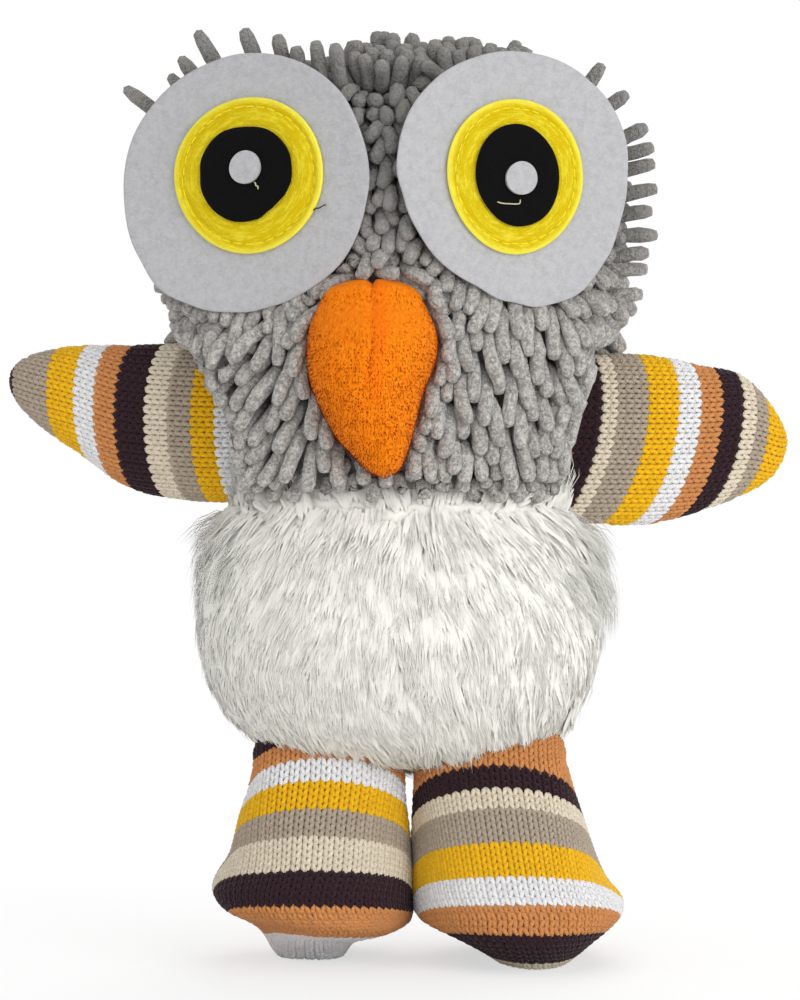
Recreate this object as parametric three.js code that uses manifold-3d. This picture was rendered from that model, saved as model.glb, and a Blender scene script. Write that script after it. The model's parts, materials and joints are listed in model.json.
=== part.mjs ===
// A plush owl that stands on two soft feet: a head of thick chenille noodles, a fur body, felt eyes,
// a stuffed beak, and wings and feet of striped knit. Lengths are millimetres, +Z is up, the face
// looks along -Y, and left and right are those of somebody who faces the owl.
import * as THREE from "three";
import { mergeVertices } from "three/addons/utils/BufferGeometryUtils.js";
import Module from "manifold-3d";

const wasm = await Module();
wasm.setup();

// Clearances, walls and cutting tools
const SEAM_GAP = 0.3; // between two sewn pieces
const SEWN_CLEARANCE = 0.6; // between a limb's round root and the pocket it turns in
const OVERRUN = 5; // how far a cutting tool runs past what it cuts
const CUTTER_SIZE = 800;
const MERGE_DISTANCE = 0.0001;
const KNIT_WALL = 1.8;
const BEAK_WALL = 2.4;
const HEAD_WALL = 2.4;
const FUR_WALL = 7; // backing cloth and combed pile together

// Trunk. Rows of a profile: height, half-width and half-depth
const BODY_HEIGHT = 90;
const BODY_HALF_WIDTH = 65.5;
const BODY_HALF_DEPTH = 48;
const BODY_PROFILE_SHARES = [
  [0, 0, 0],
  [0.02, 0.45, 0.42],
  [0.07, 0.67, 0.64],
  [0.17, 0.84, 0.8],
  [0.35, 0.96, 0.95],
  [0.57, 1, 1],
  [0.8, 0.95, 0.96],
  [1, 0.82, 0.85],
];
const HEAD_HEIGHT = 129;
const HEAD_HALF_WIDTH = 62;
const HEAD_HALF_DEPTH = 44;
const HEAD_PROFILE_SHARES = [
  [0, 0.81, 0.88],
  [0.15, 0.88, 0.93],
  [0.34, 0.95, 0.98],
  [0.56, 1, 1],
  [0.76, 0.98, 0.96],
  [0.9, 0.82, 0.8],
  [0.975, 0.52, 0.5],
  [1, 0, 0],
];
const TRUNK_ROUNDNESS = 2.4; // exponent of the oval cross-section, 2 for an ellipse
const LIMB_ROUNDNESS = 2.2;

// Noodles of the head's pile
const NOODLE_THICKNESS = 5.2;
const NOODLE_LENGTH = 16;
const NOODLE_TIP = 2.6;
const NOODLE_ROOT = 1.4; // how deep a noodle is fused into the backing
const NOODLE_PITCH = 11.4;
const NOODLE_SHORTEST = 3;
const NOODLE_STEP = 0.4; // the length that a blocked noodle loses at a time
const NOODLE_DROOP_SHARE = 0.62; // how far the lowest noodles hang, next to 1 for straight out
const NOODLE_LIFT_SHARE = 0.9; // the height on the head from which they stand straight out
const NOODLE_SIDES = 3;
const NOODLE_SWAY_SHARES = [-0.18, 0.18]; // sideways shift of every other row, so that they interlock

// Eyes, each a stack of flat felt pieces
const FACE_SHIFT = -6.2; // the face sits a little to the left of the trunk's middle
const EYE_SPACING = 80.6;
const EYE_DROP = 37; // from the top of the head's backing down to the centre of the felt discs
const EYE_STANDOFF = 6.5; // pile pressed flat between the backing and the disc
const EYE_YAW = 20; // degrees that each disc turns outwards
const FELT_THICKNESS = 1.2;
const DISC_WIDTH = 76;
const DISC_HEIGHT = 78;
const IRIS_WIDTH = 46;
const IRIS_HEIGHT = 47;
const PUPIL_WIDTH = 28;
const PUPIL_HEIGHT = 29;
const HIGHLIGHT_WIDTH = 9.8;
const THREAD_THICKNESS = 0.8;
const STITCH_INSET = 3; // from the iris's rim to its ring of stitching
const IRIS_RISE = 2;
const PUPIL_RISE = 2.4;
const HIGHLIGHT_RISE = 3.6;
const OUTLINE_STEPS = 24;
const THREAD_SIDES = 4;

// Limbs. Each turns about the seam that holds it, so its root is round about that seam.
// Rows of a limb: distance from the seam, middle of the width, half-width, front depth, back depth
const WING_LENGTH = 77;
const WING_ROOT_RADIUS = 10.5;
const WING_HALF_WIDTH = 25.5;
const WING_SEAM_INSET = 3; // from the head's side in to the seam
const LEFT_WING_SEAM_HEIGHT = 21; // above the neck seam
const RIGHT_WING_SEAM_HEIGHT = 16;
const WING_BACK_SWEEP = 14;
const WING_FORWARD_LIMIT = 55;
const WING_BACKWARD_LIMIT = 30;
const WING_SHARES = {
  left: [
    [0, 0, 0.98, 1, 1],
    [0.2, 0.02, 0.97, 1.16, 1.16],
    [0.45, 0.09, 0.885, 1.2, 1.2],
    [0.66, 0.3, 0.68, 1.06, 1.06],
    [0.82, 0.42, 0.5, 0.84, 0.84],
    [0.94, 0.52, 0.28, 0.54, 0.54],
    [1, 0.57, 0, 0, 0],
  ],
  right: [
    [0, 0, 1.04, 1, 1],
    [0.2, 0, 1.06, 1.16, 1.16],
    [0.4, 0, 1.04, 1.22, 1.22],
    [0.6, 0.02, 0.9, 1.16, 1.16],
    [0.78, 0.06, 0.75, 1, 1],
    [0.92, -0.03, 0.42, 0.66, 0.66],
    [1, -0.03, 0, 0, 0],
  ],
};
const FOOT_LENGTH = 62.5;
const FOOT_ROOT_RADIUS = 15;
const FOOT_HALF_WIDTH = 31;
const FOOT_SEAM_RISE = 6; // above the body's lowest point
const FOOT_SEAM_FORWARD = 8;
const FEET_MIDDLE = 3.8; // where the two feet meet, right of the trunk's middle
const FOOT_SPACING = 63.4;
const FOOT_FORWARD_LIMIT = 35;
const FOOT_BACKWARD_LIMIT = 12;
const FOOT_SEAM_TILT = 36; // degrees that the side seams lean towards the toe
const FOOT_SHARES = [
  [0, 0, 0.76, 1, 1],
  [0.12, 0, 0.81, 1.16, 1.08],
  [0.3, 0, 0.89, 1.75, 1.58],
  [0.5, 0, 0.96, 2.45, 2.25],
  [0.7, 0, 1, 2.95, 2.75],
  [0.87, 0, 0.87, 3, 2.88],
  [0.965, 0, 0.68, 2.65, 2.65],
  [0.99, 0, 0.58, 2.3, 2.38],
  [1, 0, 0, 0, 0],
];
const SOLE_CUT = 0.5; // the soles are flattened by this much where they stand
const BEAK_LENGTH = 54;
const BEAK_ROOT_RADIUS = 9;
const BEAK_HALF_WIDTH = 20.8;
const BEAK_SEAM_HEIGHT = 55.5; // above the neck seam
const BEAK_STANDOFF = 5; // from the head's backing out to the seam
const BEAK_SHIFT = -1.6; // from the face's middle
const BEAK_LIFT_LIMIT = 30;
const BEAK_SHARES = [
  [0, 0, 0.72, 1, 1],
  [0.12, 0, 0.89, 1.75, 0.98],
  [0.3, 0.01, 1, 2.36, 0.86],
  [0.5, -0.03, 0.87, 2.26, 0.66],
  [0.72, 0.01, 0.62, 1.74, 0.44],
  [0.9, 0.14, 0.37, 1.1, 0.3],
  [1, 0.22, 0, 0, 0],
];

// Mesh fineness
const TRUNK_SEGMENTS = 22;
const INNER_TRUNK_SEGMENTS = 14;
const LIMB_SEGMENTS = 8;
const INNER_LIMB_SEGMENTS = 6;
const ROOT_TURNS = 4; // facets of half a turn of a root
const POCKET_TURNS = 12; // facets of a whole turn of a pocket
const SWEEP_COPIES = 5; // positions of a limb that clear its path

// Felt, pile, knit and thread, with the colours of the photograph
const fabric = (color, roughness = 0.9) =>
  new THREE.MeshStandardMaterial({ color, roughness, metalness: 0 });
const NOODLE_GREY = fabric(0x8d8a86);
const WHITE_FUR = fabric(0xeceae4);
const FELT_GREY = fabric(0xcfcfd1);
const FELT_YELLOW = fabric(0xf2d70a);
const FELT_BLACK = fabric(0x101013);
const BEAK_ORANGE = fabric(0xff8a0a);
const STRIPED_KNIT = fabric(0xc9a15c);
const YELLOW_THREAD = fabric(0xf5e02a, 0.6);
const FIBRE_FILL = fabric(0xf6f6f4);

const degrees = THREE.MathUtils.degToRad;
const UP = new THREE.Vector3(0, 0, 1);
const DOWN = new THREE.Vector3(0, 0, -1);
const FRONT = new THREE.Vector3(0, -1, 0);
const BACK = new THREE.Vector3(0, 1, 0);
const LEFT = new THREE.Vector3(-1, 0, 0);
const RIGHT = new THREE.Vector3(1, 0, 0);
const LATHE_AXIS = new THREE.Vector3(0, 1, 0);
const OUTWARDS = { left: -1, right: 1 };

// The values of a table of rows at one position, on a smooth curve through the rows.
function tableAt(rows, position) {
  const last = rows.length - 1;
  const next = rows.findIndex((row) => row[0] > position);
  const i = next < 0 ? last - 1 : Math.max(next - 1, 0);
  const before = rows[Math.max(i - 1, 0)];
  const from = rows[i];
  const to = rows[i + 1];
  const after = rows[Math.min(i + 2, last)];
  const span = to[0] - from[0];
  const t = THREE.MathUtils.clamp((position - from[0]) / span, 0, 1);
  const t2 = t * t;
  const t3 = t2 * t;
  return from.slice(1).map((start, k) => {
    const end = to[k + 1];
    const slopeFrom = ((end - before[k + 1]) / (to[0] - before[0])) * span;
    const slopeTo = ((after[k + 1] - start) / (after[0] - from[0])) * span;
    return (
      (2 * t3 - 3 * t2 + 1) * start +
      (t3 - 2 * t2 + t) * slopeFrom +
      (3 * t2 - 2 * t3) * end +
      (t3 - t2) * slopeTo
    );
  });
}

const signedPower = (value, power) => Math.sign(value) * Math.abs(value) ** power;

// A geometry as a manifold-3d solid, with shared vertices merged and empty triangles dropped.
function toSolid(geometry) {
  const bare = geometry.clone();
  bare.deleteAttribute("normal");
  bare.deleteAttribute("uv");
  const merged = mergeVertices(bare, MERGE_DISTANCE);
  const index = merged.index.array;
  const outwards = [];
  const inwards = [];
  for (let i = 0; i < index.length; i += 3) {
    const [a, b, c] = [index[i], index[i + 1], index[i + 2]];
    if (a === b || b === c || a === c) continue;
    outwards.push(a, b, c);
    inwards.push(a, c, b);
  }
  const vertProperties = merged.attributes.position.array;
  const build = (corners) =>
    new wasm.Manifold(
      new wasm.Mesh({ numProp: 3, vertProperties, triVerts: new Uint32Array(corners) }),
    );
  const solid = build(outwards);
  return solid.volume() > 0 ? solid : build(inwards);
}

// The faces between rows of points. They close where rows meet in a point or in a line.
function skin(rows, around) {
  const width = rows[0].length;
  const columns = around ? width : width - 1;
  const index = [];
  for (let r = 0; r + 1 < rows.length; r += 1)
    for (let c = 0; c < columns; c += 1) {
      const a = r * width + c;
      const b = r * width + ((c + 1) % width);
      index.push(a, b, b + width, a, b + width, a + width);
    }
  const positions = rows.flat().flatMap((point) => point.toArray());
  const geometry = new THREE.BufferGeometry();
  geometry.setAttribute("position", new THREE.Float32BufferAttribute(positions, 3));
  return geometry.setIndex(index);
}

// The largest body of a manifold-3d solid as a flat-shaded geometry.
function toGeometry(solid) {
  const bodies = solid.decompose();
  const largest = bodies.reduce((a, b) => (b.volume() > a.volume() ? b : a));
  const { numProp, vertProperties, triVerts } = largest.getMesh();
  const positions = [];
  for (const vertex of triVerts) {
    const start = vertex * numProp;
    positions.push(...vertProperties.subarray(start, start + 3));
  }
  const geometry = new THREE.BufferGeometry();
  geometry.setAttribute("position", new THREE.Float32BufferAttribute(positions, 3));
  geometry.computeVertexNormals();
  return geometry;
}

function namedMesh(name, geometry, material) {
  const mesh = new THREE.Mesh(geometry, material);
  mesh.name = name;
  return mesh;
}

const solidMesh = (name, solid, material) => namedMesh(name, toGeometry(solid), material);

// Half of space: all that lies beyond a gap along a direction, seen from the origin.
function halfSpace(direction, gap) {
  const box = new THREE.BoxGeometry(CUTTER_SIZE, CUTTER_SIZE, CUTTER_SIZE);
  box.translate(0, 0, CUTTER_SIZE / 2 + gap);
  box.applyQuaternion(new THREE.Quaternion().setFromUnitVectors(UP, direction));
  return toSolid(box);
}

// The trunk's two lofts. The neck seam is at z = 0: the body hangs below it, the head stands on it.
const BODY = {
  rows: BODY_PROFILE_SHARES,
  base: -BODY_HEIGHT,
  height: BODY_HEIGHT,
  halfWidth: BODY_HALF_WIDTH,
  halfDepth: BODY_HALF_DEPTH,
  downwards: true,
};
const HEAD = {
  rows: HEAD_PROFILE_SHARES,
  base: 0,
  height: HEAD_HEIGHT,
  halfWidth: HEAD_HALF_WIDTH,
  halfDepth: HEAD_HALF_DEPTH,
  downwards: false,
};

// A point of a loft's surface. Angle 0 is at the right side and a quarter turn at the back.
function loftPoint(loft, share, angle, inset = 0) {
  const [wide, deep] = tableAt(loft.rows, share);
  const x = Math.max(wide * loft.halfWidth - inset, 0);
  const y = Math.max(deep * loft.halfDepth - inset, 0);
  return new THREE.Vector3(
    x * signedPower(Math.cos(angle), 2 / TRUNK_ROUNDNESS),
    y * signedPower(Math.sin(angle), 2 / TRUNK_ROUNDNESS),
    loft.base + share * loft.height,
  );
}

// A loft, drawn in by an inset, that ends flat at a level near the neck seam.
function loftSolid(loft, inset, segments, neckEnd) {
  const inwards = loft.downwards ? inset : -inset;
  const rings = loft.rows.map(([share]) => {
    const ring = [];
    for (let i = 0; i < segments; i += 1)
      ring.push(loftPoint(loft, share, (i / segments) * 2 * Math.PI, inset));
    const poleShare = loft.downwards ? 1 - share : share;
    const shift = inwards * THREE.MathUtils.smoothstep(poleShare, 0.5, 1);
    for (const point of ring) point.z += shift;
    return ring;
  });
  if (loft.downwards) rings.reverse();
  for (const point of rings[0]) point.z = neckEnd;
  rings.unshift(rings[0].map(() => new THREE.Vector3(0, 0, neckEnd)));
  return toSolid(skin(rings, true));
}

const halfWidthAt = (loft, z) =>
  tableAt(loft.rows, (z - loft.base) / loft.height)[0] * loft.halfWidth;

// How far a loft's front stands forward at a place seen from the front.
function depthAt(loft, x, z) {
  const [wide, deep] = tableAt(loft.rows, (z - loft.base) / loft.height);
  const across = Math.min(Math.abs(x) / (wide * loft.halfWidth), 1);
  return deep * loft.halfDepth * (1 - across ** TRUNK_ROUNDNESS) ** (1 / TRUNK_ROUNDNESS);
}

// A limb's cross-section at a share of its length, drawn in by an inset. In the limb's own frame
// x runs out from the seam, y from front to back and z along the seam.
function limbSection(limb, share, inset = 0) {
  const [middle, wide, front, back] = tableAt(limb.rows, share);
  return {
    out: share * limb.length - inset * THREE.MathUtils.smoothstep(share, 0.5, 1),
    middle: middle * limb.halfWidth,
    halfWidth: wide > 0 ? Math.max(wide * limb.halfWidth - inset, 0) : 0,
    front: front > 0 ? Math.max(front * limb.rootRadius - inset, 0) : 0,
    back: back > 0 ? Math.max(back * limb.rootRadius - inset, 0) : 0,
  };
}

// Half of a cross-section, from one edge of the limb to the other. Turn 0 is the front half, half
// a turn the back one, and those between bend round the seam.
function sectionRow(section, depth, turn, segments) {
  const row = [];
  for (let i = 0; i <= segments; i += 1) {
    const angle = (i / segments) * Math.PI;
    const edge = i === 0 || i === segments;
    const bulge = edge ? 0 : depth * Math.sin(angle) ** (2 / LIMB_ROUNDNESS);
    const along = section.halfWidth * signedPower(Math.cos(angle), 2 / LIMB_ROUNDNESS);
    row.push(
      new THREE.Vector3(
        section.out - bulge * Math.sin(turn),
        -bulge * Math.cos(turn),
        section.middle + along,
      ),
    );
  }
  return row;
}

function limbSolid(limb, inset, segments) {
  const sections = limb.rows.map(([share]) => limbSection(limb, share, inset));
  const [root] = sections;
  const rows = sections.map((section) => sectionRow(section, section.front, 0, segments));
  rows.reverse();
  for (let i = 1; i < ROOT_TURNS; i += 1)
    rows.push(sectionRow(root, root.front, (i / ROOT_TURNS) * Math.PI, segments));
  for (const section of sections) rows.push(sectionRow(section, section.back, Math.PI, segments));
  return toSolid(skin(rows, false));
}

// The pocket that a root turns in: its surface of revolution, with flats that keep the clearance.
function pocketSolid(limb) {
  const root = limbSection(limb, 0, -SEWN_CLEARANCE);
  const radius = root.front / Math.cos(Math.PI / POCKET_TURNS);
  const profile = sectionRow(root, radius, 0, LIMB_SEGMENTS).map(
    (point) => new THREE.Vector2(-point.y, -point.z),
  );
  return toSolid(new THREE.LatheGeometry(profile, POCKET_TURNS).rotateX(-Math.PI / 2));
}

// All the room that a limb takes between its limits, for what it must not touch.
function pathSolid(limb) {
  const grown = limbSolid(limb, -SEWN_CLEARANCE, LIMB_SEGMENTS);
  const copies = [placed(pocketSolid(limb), limb, 0)];
  for (let i = 0; i < SWEEP_COPIES; i += 1) {
    const share = i / (SWEEP_COPIES - 1);
    copies.push(placed(grown, limb, THREE.MathUtils.lerp(limb.from, limb.to, share)));
  }
  return wasm.Manifold.union(copies);
}

// A solid of the limb's own frame in its place on the owl, at an angle of the limb's joint.
function placed(solid, limb, angle) {
  const turned = new THREE.Matrix4().makeRotationZ(angle);
  return solid.transform(limb.frame.clone().multiply(turned).elements);
}

// Whether a point, with a margin round it, is in a limb's way at some angle of its joint.
function limbHits(limb, point, margin) {
  const own = point.clone().applyMatrix4(limb.frame.clone().invert());
  for (let i = 0; i <= SWEEP_COPIES * 2; i += 1) {
    const angle = THREE.MathUtils.lerp(limb.from, limb.to, i / (SWEEP_COPIES * 2));
    const turned = own.clone().applyAxisAngle(UP, -angle);
    const section = limbSection(limb, THREE.MathUtils.clamp(turned.x / limb.length, 0, 1));
    const past = Math.max(turned.x - limb.length, 0);
    const depth = (turned.y < 0 ? section.front : section.back) + margin;
    const deep = (turned.x < 0 ? Math.hypot(turned.x, turned.y) : turned.y) / depth;
    const wide = (turned.z - section.middle) / (section.halfWidth + margin);
    if (past < margin && deep ** 2 + wide ** 2 < 1) return true;
  }
  return false;
}

// The frame of a limb: the direction it runs in, its back, and the seam that it turns about.
function limbFrame(out, back, seam, place) {
  return new THREE.Matrix4().makeBasis(out, back, seam).setPosition(place);
}

function makeWing(side, height) {
  const outwards = OUTWARDS[side];
  const sweep = degrees(WING_BACK_SWEEP);
  const out = new THREE.Vector3(outwards * Math.cos(sweep), Math.sin(sweep), 0);
  const back = new THREE.Vector3(-outwards * Math.sin(sweep), Math.cos(sweep), 0);
  const place = new THREE.Vector3(outwards * (halfWidthAt(HEAD, height) - WING_SEAM_INSET), 0, height);
  return {
    name: `${side}_wing`,
    rows: WING_SHARES[side],
    length: WING_LENGTH,
    halfWidth: WING_HALF_WIDTH,
    rootRadius: WING_ROOT_RADIUS,
    wall: KNIT_WALL,
    from: -degrees(WING_FORWARD_LIMIT),
    to: degrees(WING_BACKWARD_LIMIT),
    frame: limbFrame(out, back, UP, place),
    panels: { front_panel: FRONT, back_panel: BACK },
    material: STRIPED_KNIT,
  };
}

function makeFoot(side) {
  const x = FEET_MIDDLE + (OUTWARDS[side] * FOOT_SPACING) / 2;
  const tilt = degrees(FOOT_SEAM_TILT);
  const upper = new THREE.Vector3(-Math.sin(tilt), -Math.cos(tilt), 0);
  return {
    name: `${side}_foot`,
    rows: FOOT_SHARES,
    length: FOOT_LENGTH,
    halfWidth: FOOT_HALF_WIDTH,
    rootRadius: FOOT_ROOT_RADIUS,
    wall: KNIT_WALL,
    from: -degrees(FOOT_FORWARD_LIMIT),
    to: degrees(FOOT_BACKWARD_LIMIT),
    frame: limbFrame(
      DOWN,
      BACK,
      RIGHT,
      new THREE.Vector3(x, -FOOT_SEAM_FORWARD, FOOT_SEAM_RISE - BODY_HEIGHT),
    ),
    panels: { upper_panel: upper, sole_panel: upper.clone().negate() },
    flatCut: SOLE_CUT,
    material: STRIPED_KNIT,
  };
}

function makeBeak() {
  const x = FACE_SHIFT + BEAK_SHIFT;
  const forward = depthAt(HEAD, x, BEAK_SEAM_HEIGHT) + BEAK_STANDOFF;
  return {
    name: "beak",
    rows: BEAK_SHARES,
    length: BEAK_LENGTH,
    halfWidth: BEAK_HALF_WIDTH,
    rootRadius: BEAK_ROOT_RADIUS,
    wall: BEAK_WALL,
    from: -degrees(BEAK_LIFT_LIMIT),
    to: 0,
    frame: limbFrame(DOWN, BACK, RIGHT, new THREE.Vector3(x, -forward, BEAK_SEAM_HEIGHT)),
    panels: { left_panel: DOWN, right_panel: UP },
    material: BEAK_ORANGE,
  };
}

// A limb's cover, sewn from two panels, and the stuffing that it holds.
function limbMeshes(limb) {
  const floor = limb.flatCut ? limb.length - limb.flatCut : limb.length + OVERRUN;
  const kept = halfSpace(LEFT, -floor);
  const cover = limbSolid(limb, 0, LIMB_SEGMENTS)
    .subtract(limbSolid(limb, limb.wall, INNER_LIMB_SEGMENTS))
    .intersect(kept);
  const meshes = Object.entries(limb.panels).map(([panel, direction]) => {
    const half = cover.intersect(halfSpace(direction, SEAM_GAP / 2));
    return solidMesh(`${limb.name}_${panel}`, placed(half, limb, 0), limb.material);
  });
  const fill = limbSolid(limb, limb.wall + SEAM_GAP, INNER_LIMB_SEGMENTS);
  return [...meshes, solidMesh(`${limb.name}_stuffing`, placed(fill, limb, 0), FIBRE_FILL)];
}

const wings = [makeWing("left", LEFT_WING_SEAM_HEIGHT), makeWing("right", RIGHT_WING_SEAM_HEIGHT)];
const feet = [makeFoot("left"), makeFoot("right")];
const beak = makeBeak();
const limbs = [...wings, ...feet, beak];

// An eye's place: the middle of its disc's back, and the direction that it faces.
function makeEye(side) {
  const outwards = OUTWARDS[side];
  const x = FACE_SHIFT + (outwards * EYE_SPACING) / 2;
  const height = HEAD_HEIGHT - EYE_DROP;
  const forward = depthAt(HEAD, x, height) + EYE_STANDOFF;
  const group = new THREE.Group();
  group.position.set(x, -forward, height);
  group.rotation.z = outwards * degrees(EYE_YAW);
  group.updateMatrixWorld();
  return { side, group };
}

// An oval piece of felt, cut from a flat sheet and laid at a level of the stack.
function feltGeometry(width, height, rise, level) {
  const outline = [];
  for (let i = 0; i < OUTLINE_STEPS; i += 1) {
    const angle = (i / OUTLINE_STEPS) * 2 * Math.PI;
    const x = (width / 2) * Math.cos(angle);
    outline.push(new THREE.Vector2(x, rise + (height / 2) * Math.sin(angle)));
  }
  const geometry = new THREE.ExtrudeGeometry(new THREE.Shape(outline), {
    depth: FELT_THICKNESS,
    bevelEnabled: false,
  });
  return geometry.translate(0, 0, level).rotateX(Math.PI / 2);
}

// The ring of stitching that holds the iris on its disc.
function threadGeometry(level) {
  const halfWidth = IRIS_WIDTH / 2 - STITCH_INSET;
  const halfHeight = IRIS_HEIGHT / 2 - STITCH_INSET;
  const ring = new THREE.TorusGeometry(halfWidth, THREAD_THICKNESS / 2, THREAD_SIDES, OUTLINE_STEPS);
  ring.scale(1, halfHeight / halfWidth, 1);
  ring.translate(0, IRIS_RISE, level + THREAD_THICKNESS / 2);
  return ring.rotateX(Math.PI / 2);
}

const eyes = [makeEye("left"), makeEye("right")];
const FELT_LAYER = FELT_THICKNESS + SEAM_GAP;

function eyeMeshes(side) {
  return [
    namedMesh(`${side}_eye_disc`, feltGeometry(DISC_WIDTH, DISC_HEIGHT, 0, 0), FELT_GREY),
    namedMesh(
      `${side}_eye_iris`,
      feltGeometry(IRIS_WIDTH, IRIS_HEIGHT, IRIS_RISE, FELT_LAYER),
      FELT_YELLOW,
    ),
    namedMesh(
      `${side}_eye_pupil`,
      feltGeometry(PUPIL_WIDTH, PUPIL_HEIGHT, PUPIL_RISE, FELT_LAYER * 2),
      FELT_BLACK,
    ),
    namedMesh(
      `${side}_eye_highlight`,
      feltGeometry(HIGHLIGHT_WIDTH, HIGHLIGHT_WIDTH, HIGHLIGHT_RISE, FELT_LAYER * 3),
      FELT_GREY,
    ),
    namedMesh(`${side}_eye_stitching`, threadGeometry(FELT_LAYER * 2), YELLOW_THREAD),
  ];
}

// Whether a point of a noodle, with a margin to its sides, reaches an eye's disc.
function discHits(eye, point, margin) {
  const own = eye.group.worldToLocal(point.clone());
  const across = own.x / (DISC_WIDTH / 2 + margin);
  const up = own.z / (DISC_HEIGHT / 2 + margin);
  return across ** 2 + up ** 2 < 1 && -own.y > -SEAM_GAP;
}

// The free length of a noodle: it stops short of the eyes, the limbs' paths and the body.
function freeLength(root, direction) {
  const margin = NOODLE_THICKNESS / 2;
  const blocked = (point) =>
    eyes.some((eye) => discHits(eye, point, margin)) ||
    limbs.some((limb) => limbHits(limb, point, margin)) ||
    point.z < margin;
  let free = 0;
  while (free < NOODLE_LENGTH) {
    if (blocked(root.clone().addScaledVector(direction, free + NOODLE_STEP))) break;
    free += NOODLE_STEP;
  }
  return Math.min(free, NOODLE_LENGTH);
}

// The direction of a noodle: straight out of the head at its top, and hanging lower down.
function noodleDirection(share, angle, root) {
  const nudge = 0.001;
  const up = loftPoint(HEAD, share + nudge, angle).sub(root);
  const around = loftPoint(HEAD, share, angle + nudge).sub(root);
  const normal = around.cross(up).normalize();
  const droop = NOODLE_DROOP_SHARE * Math.max(1 - share / NOODLE_LIFT_SHARE, 0);
  const direction = normal.addScaledVector(UP, -droop).normalize();
  const lowest = (NOODLE_THICKNESS - root.z) / NOODLE_LENGTH;
  if (direction.z < lowest) {
    const level = Math.sqrt(1 - lowest ** 2) / Math.hypot(direction.x, direction.y);
    direction.set(direction.x * level, direction.y * level, lowest);
  }
  return direction;
}

// One strand of a few sides, fused into the backing at its root and pointed at its tip.
function noodleSolid(root, direction, length) {
  const radius = NOODLE_THICKNESS / 2;
  const profile = [
    new THREE.Vector2(0, -NOODLE_ROOT),
    new THREE.Vector2(radius, -NOODLE_ROOT),
    new THREE.Vector2(radius, length - Math.min(NOODLE_TIP, length / 2)),
    new THREE.Vector2(0, length),
  ];
  const strand = new THREE.LatheGeometry(profile, NOODLE_SIDES);
  strand.applyQuaternion(new THREE.Quaternion().setFromUnitVectors(LATHE_AXIS, direction));
  return toSolid(strand.translate(root.x, root.y, root.z));
}

// Angles round a loft that are a noodle's pitch apart, measured along its surface.
function evenAngles(share, from, to, swayShare) {
  const steps = 60;
  const angles = [from];
  const lengths = [0];
  for (let i = 1; i <= steps; i += 1) {
    const angle = THREE.MathUtils.lerp(from, to, i / steps);
    const step = loftPoint(HEAD, share, angle).distanceTo(loftPoint(HEAD, share, angles.at(-1)));
    angles.push(angle);
    lengths.push(lengths.at(-1) + step);
  }
  const count = Math.max(Math.floor(lengths.at(-1) / NOODLE_PITCH), 1);
  const spread = lengths.at(-1) / count;
  const found = [];
  for (let k = 0; k < count; k += 1) {
    const goal = (k + 0.5 + swayShare) * spread;
    const i = lengths.findIndex((length) => length >= goal);
    const t = (goal - lengths[i - 1]) / (lengths[i] - lengths[i - 1]);
    found.push(THREE.MathUtils.lerp(angles[i - 1], angles[i], t));
  }
  return found;
}

// Heights on the head that are a noodle's pitch apart, measured up its surface.
function evenShares() {
  const shares = [];
  const steps = 400;
  let travelled = 0;
  let last = loftPoint(HEAD, 0, 0);
  let next = NOODLE_PITCH / 2;
  for (let i = 1; i < steps; i += 1) {
    const point = loftPoint(HEAD, i / steps, 0);
    travelled += point.distanceTo(last);
    last = point;
    if (travelled < next) continue;
    shares.push(i / steps);
    next += NOODLE_PITCH;
  }
  return shares;
}

// The noodles of the head's front or back, between the two side seams.
function noodles(from, to) {
  const strands = [];
  evenShares().forEach((share, row) => {
    for (const angle of evenAngles(share, from, to, NOODLE_SWAY_SHARES[row % 2])) {
      const root = loftPoint(HEAD, share, angle);
      const direction = noodleDirection(share, angle, root);
      const length = freeLength(root, direction);
      if (length > NOODLE_SHORTEST) strands.push(noodleSolid(root, direction, length));
    }
  });
  return strands;
}

// A panel of the trunk's cover on one side of the side seams.
function trunkPanel(loft, wall, neckSide, direction, pile, paths) {
  const outer = loftSolid(loft, 0, TRUNK_SEGMENTS, (neckSide * SEAM_GAP) / 2);
  const inner = loftSolid(loft, wall, INNER_TRUNK_SEGMENTS, -neckSide * OVERRUN);
  const half = outer.intersect(halfSpace(direction, SEAM_GAP / 2));
  return wasm.Manifold.union([half, ...pile])
    .subtract(inner)
    .subtract(paths);
}

function trunkMeshes() {
  const paths = wasm.Manifold.union(limbs.map(pathSolid));
  const body = (direction) => trunkPanel(BODY, FUR_WALL, -1, direction, [], paths);
  const head = (direction, pile) => trunkPanel(HEAD, HEAD_WALL, 1, direction, pile, paths);
  const fill = (loft, wall, neckSide) =>
    loftSolid(loft, wall + SEAM_GAP, INNER_TRUNK_SEGMENTS, (neckSide * SEAM_GAP) / 2).subtract(paths);
  return [
    solidMesh("body_front_panel", body(FRONT), WHITE_FUR),
    solidMesh("body_back_panel", body(BACK), WHITE_FUR),
    solidMesh("body_stuffing", fill(BODY, FUR_WALL, -1), FIBRE_FILL),
    solidMesh("head_front_panel", head(FRONT, noodles(Math.PI, 2 * Math.PI)), NOODLE_GREY),
    solidMesh("head_back_panel", head(BACK, noodles(0, Math.PI)), NOODLE_GREY),
    solidMesh("head_stuffing", fill(HEAD, HEAD_WALL, 1), FIBRE_FILL),
  ];
}

// The whole owl, on the floor and with the middle of its outline over the origin.
const owl = new THREE.Group();
owl.add(...trunkMeshes());
for (const eye of eyes) {
  eye.group.add(...eyeMeshes(eye.side));
  owl.add(eye.group);
}
for (const limb of limbs) owl.add(...limbMeshes(limb));

const bounds = new THREE.Box3().setFromObject(owl);
const middle = bounds.getCenter(new THREE.Vector3());
owl.position.set(-middle.x, -middle.y, -bounds.min.z);

export default owl;
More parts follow.
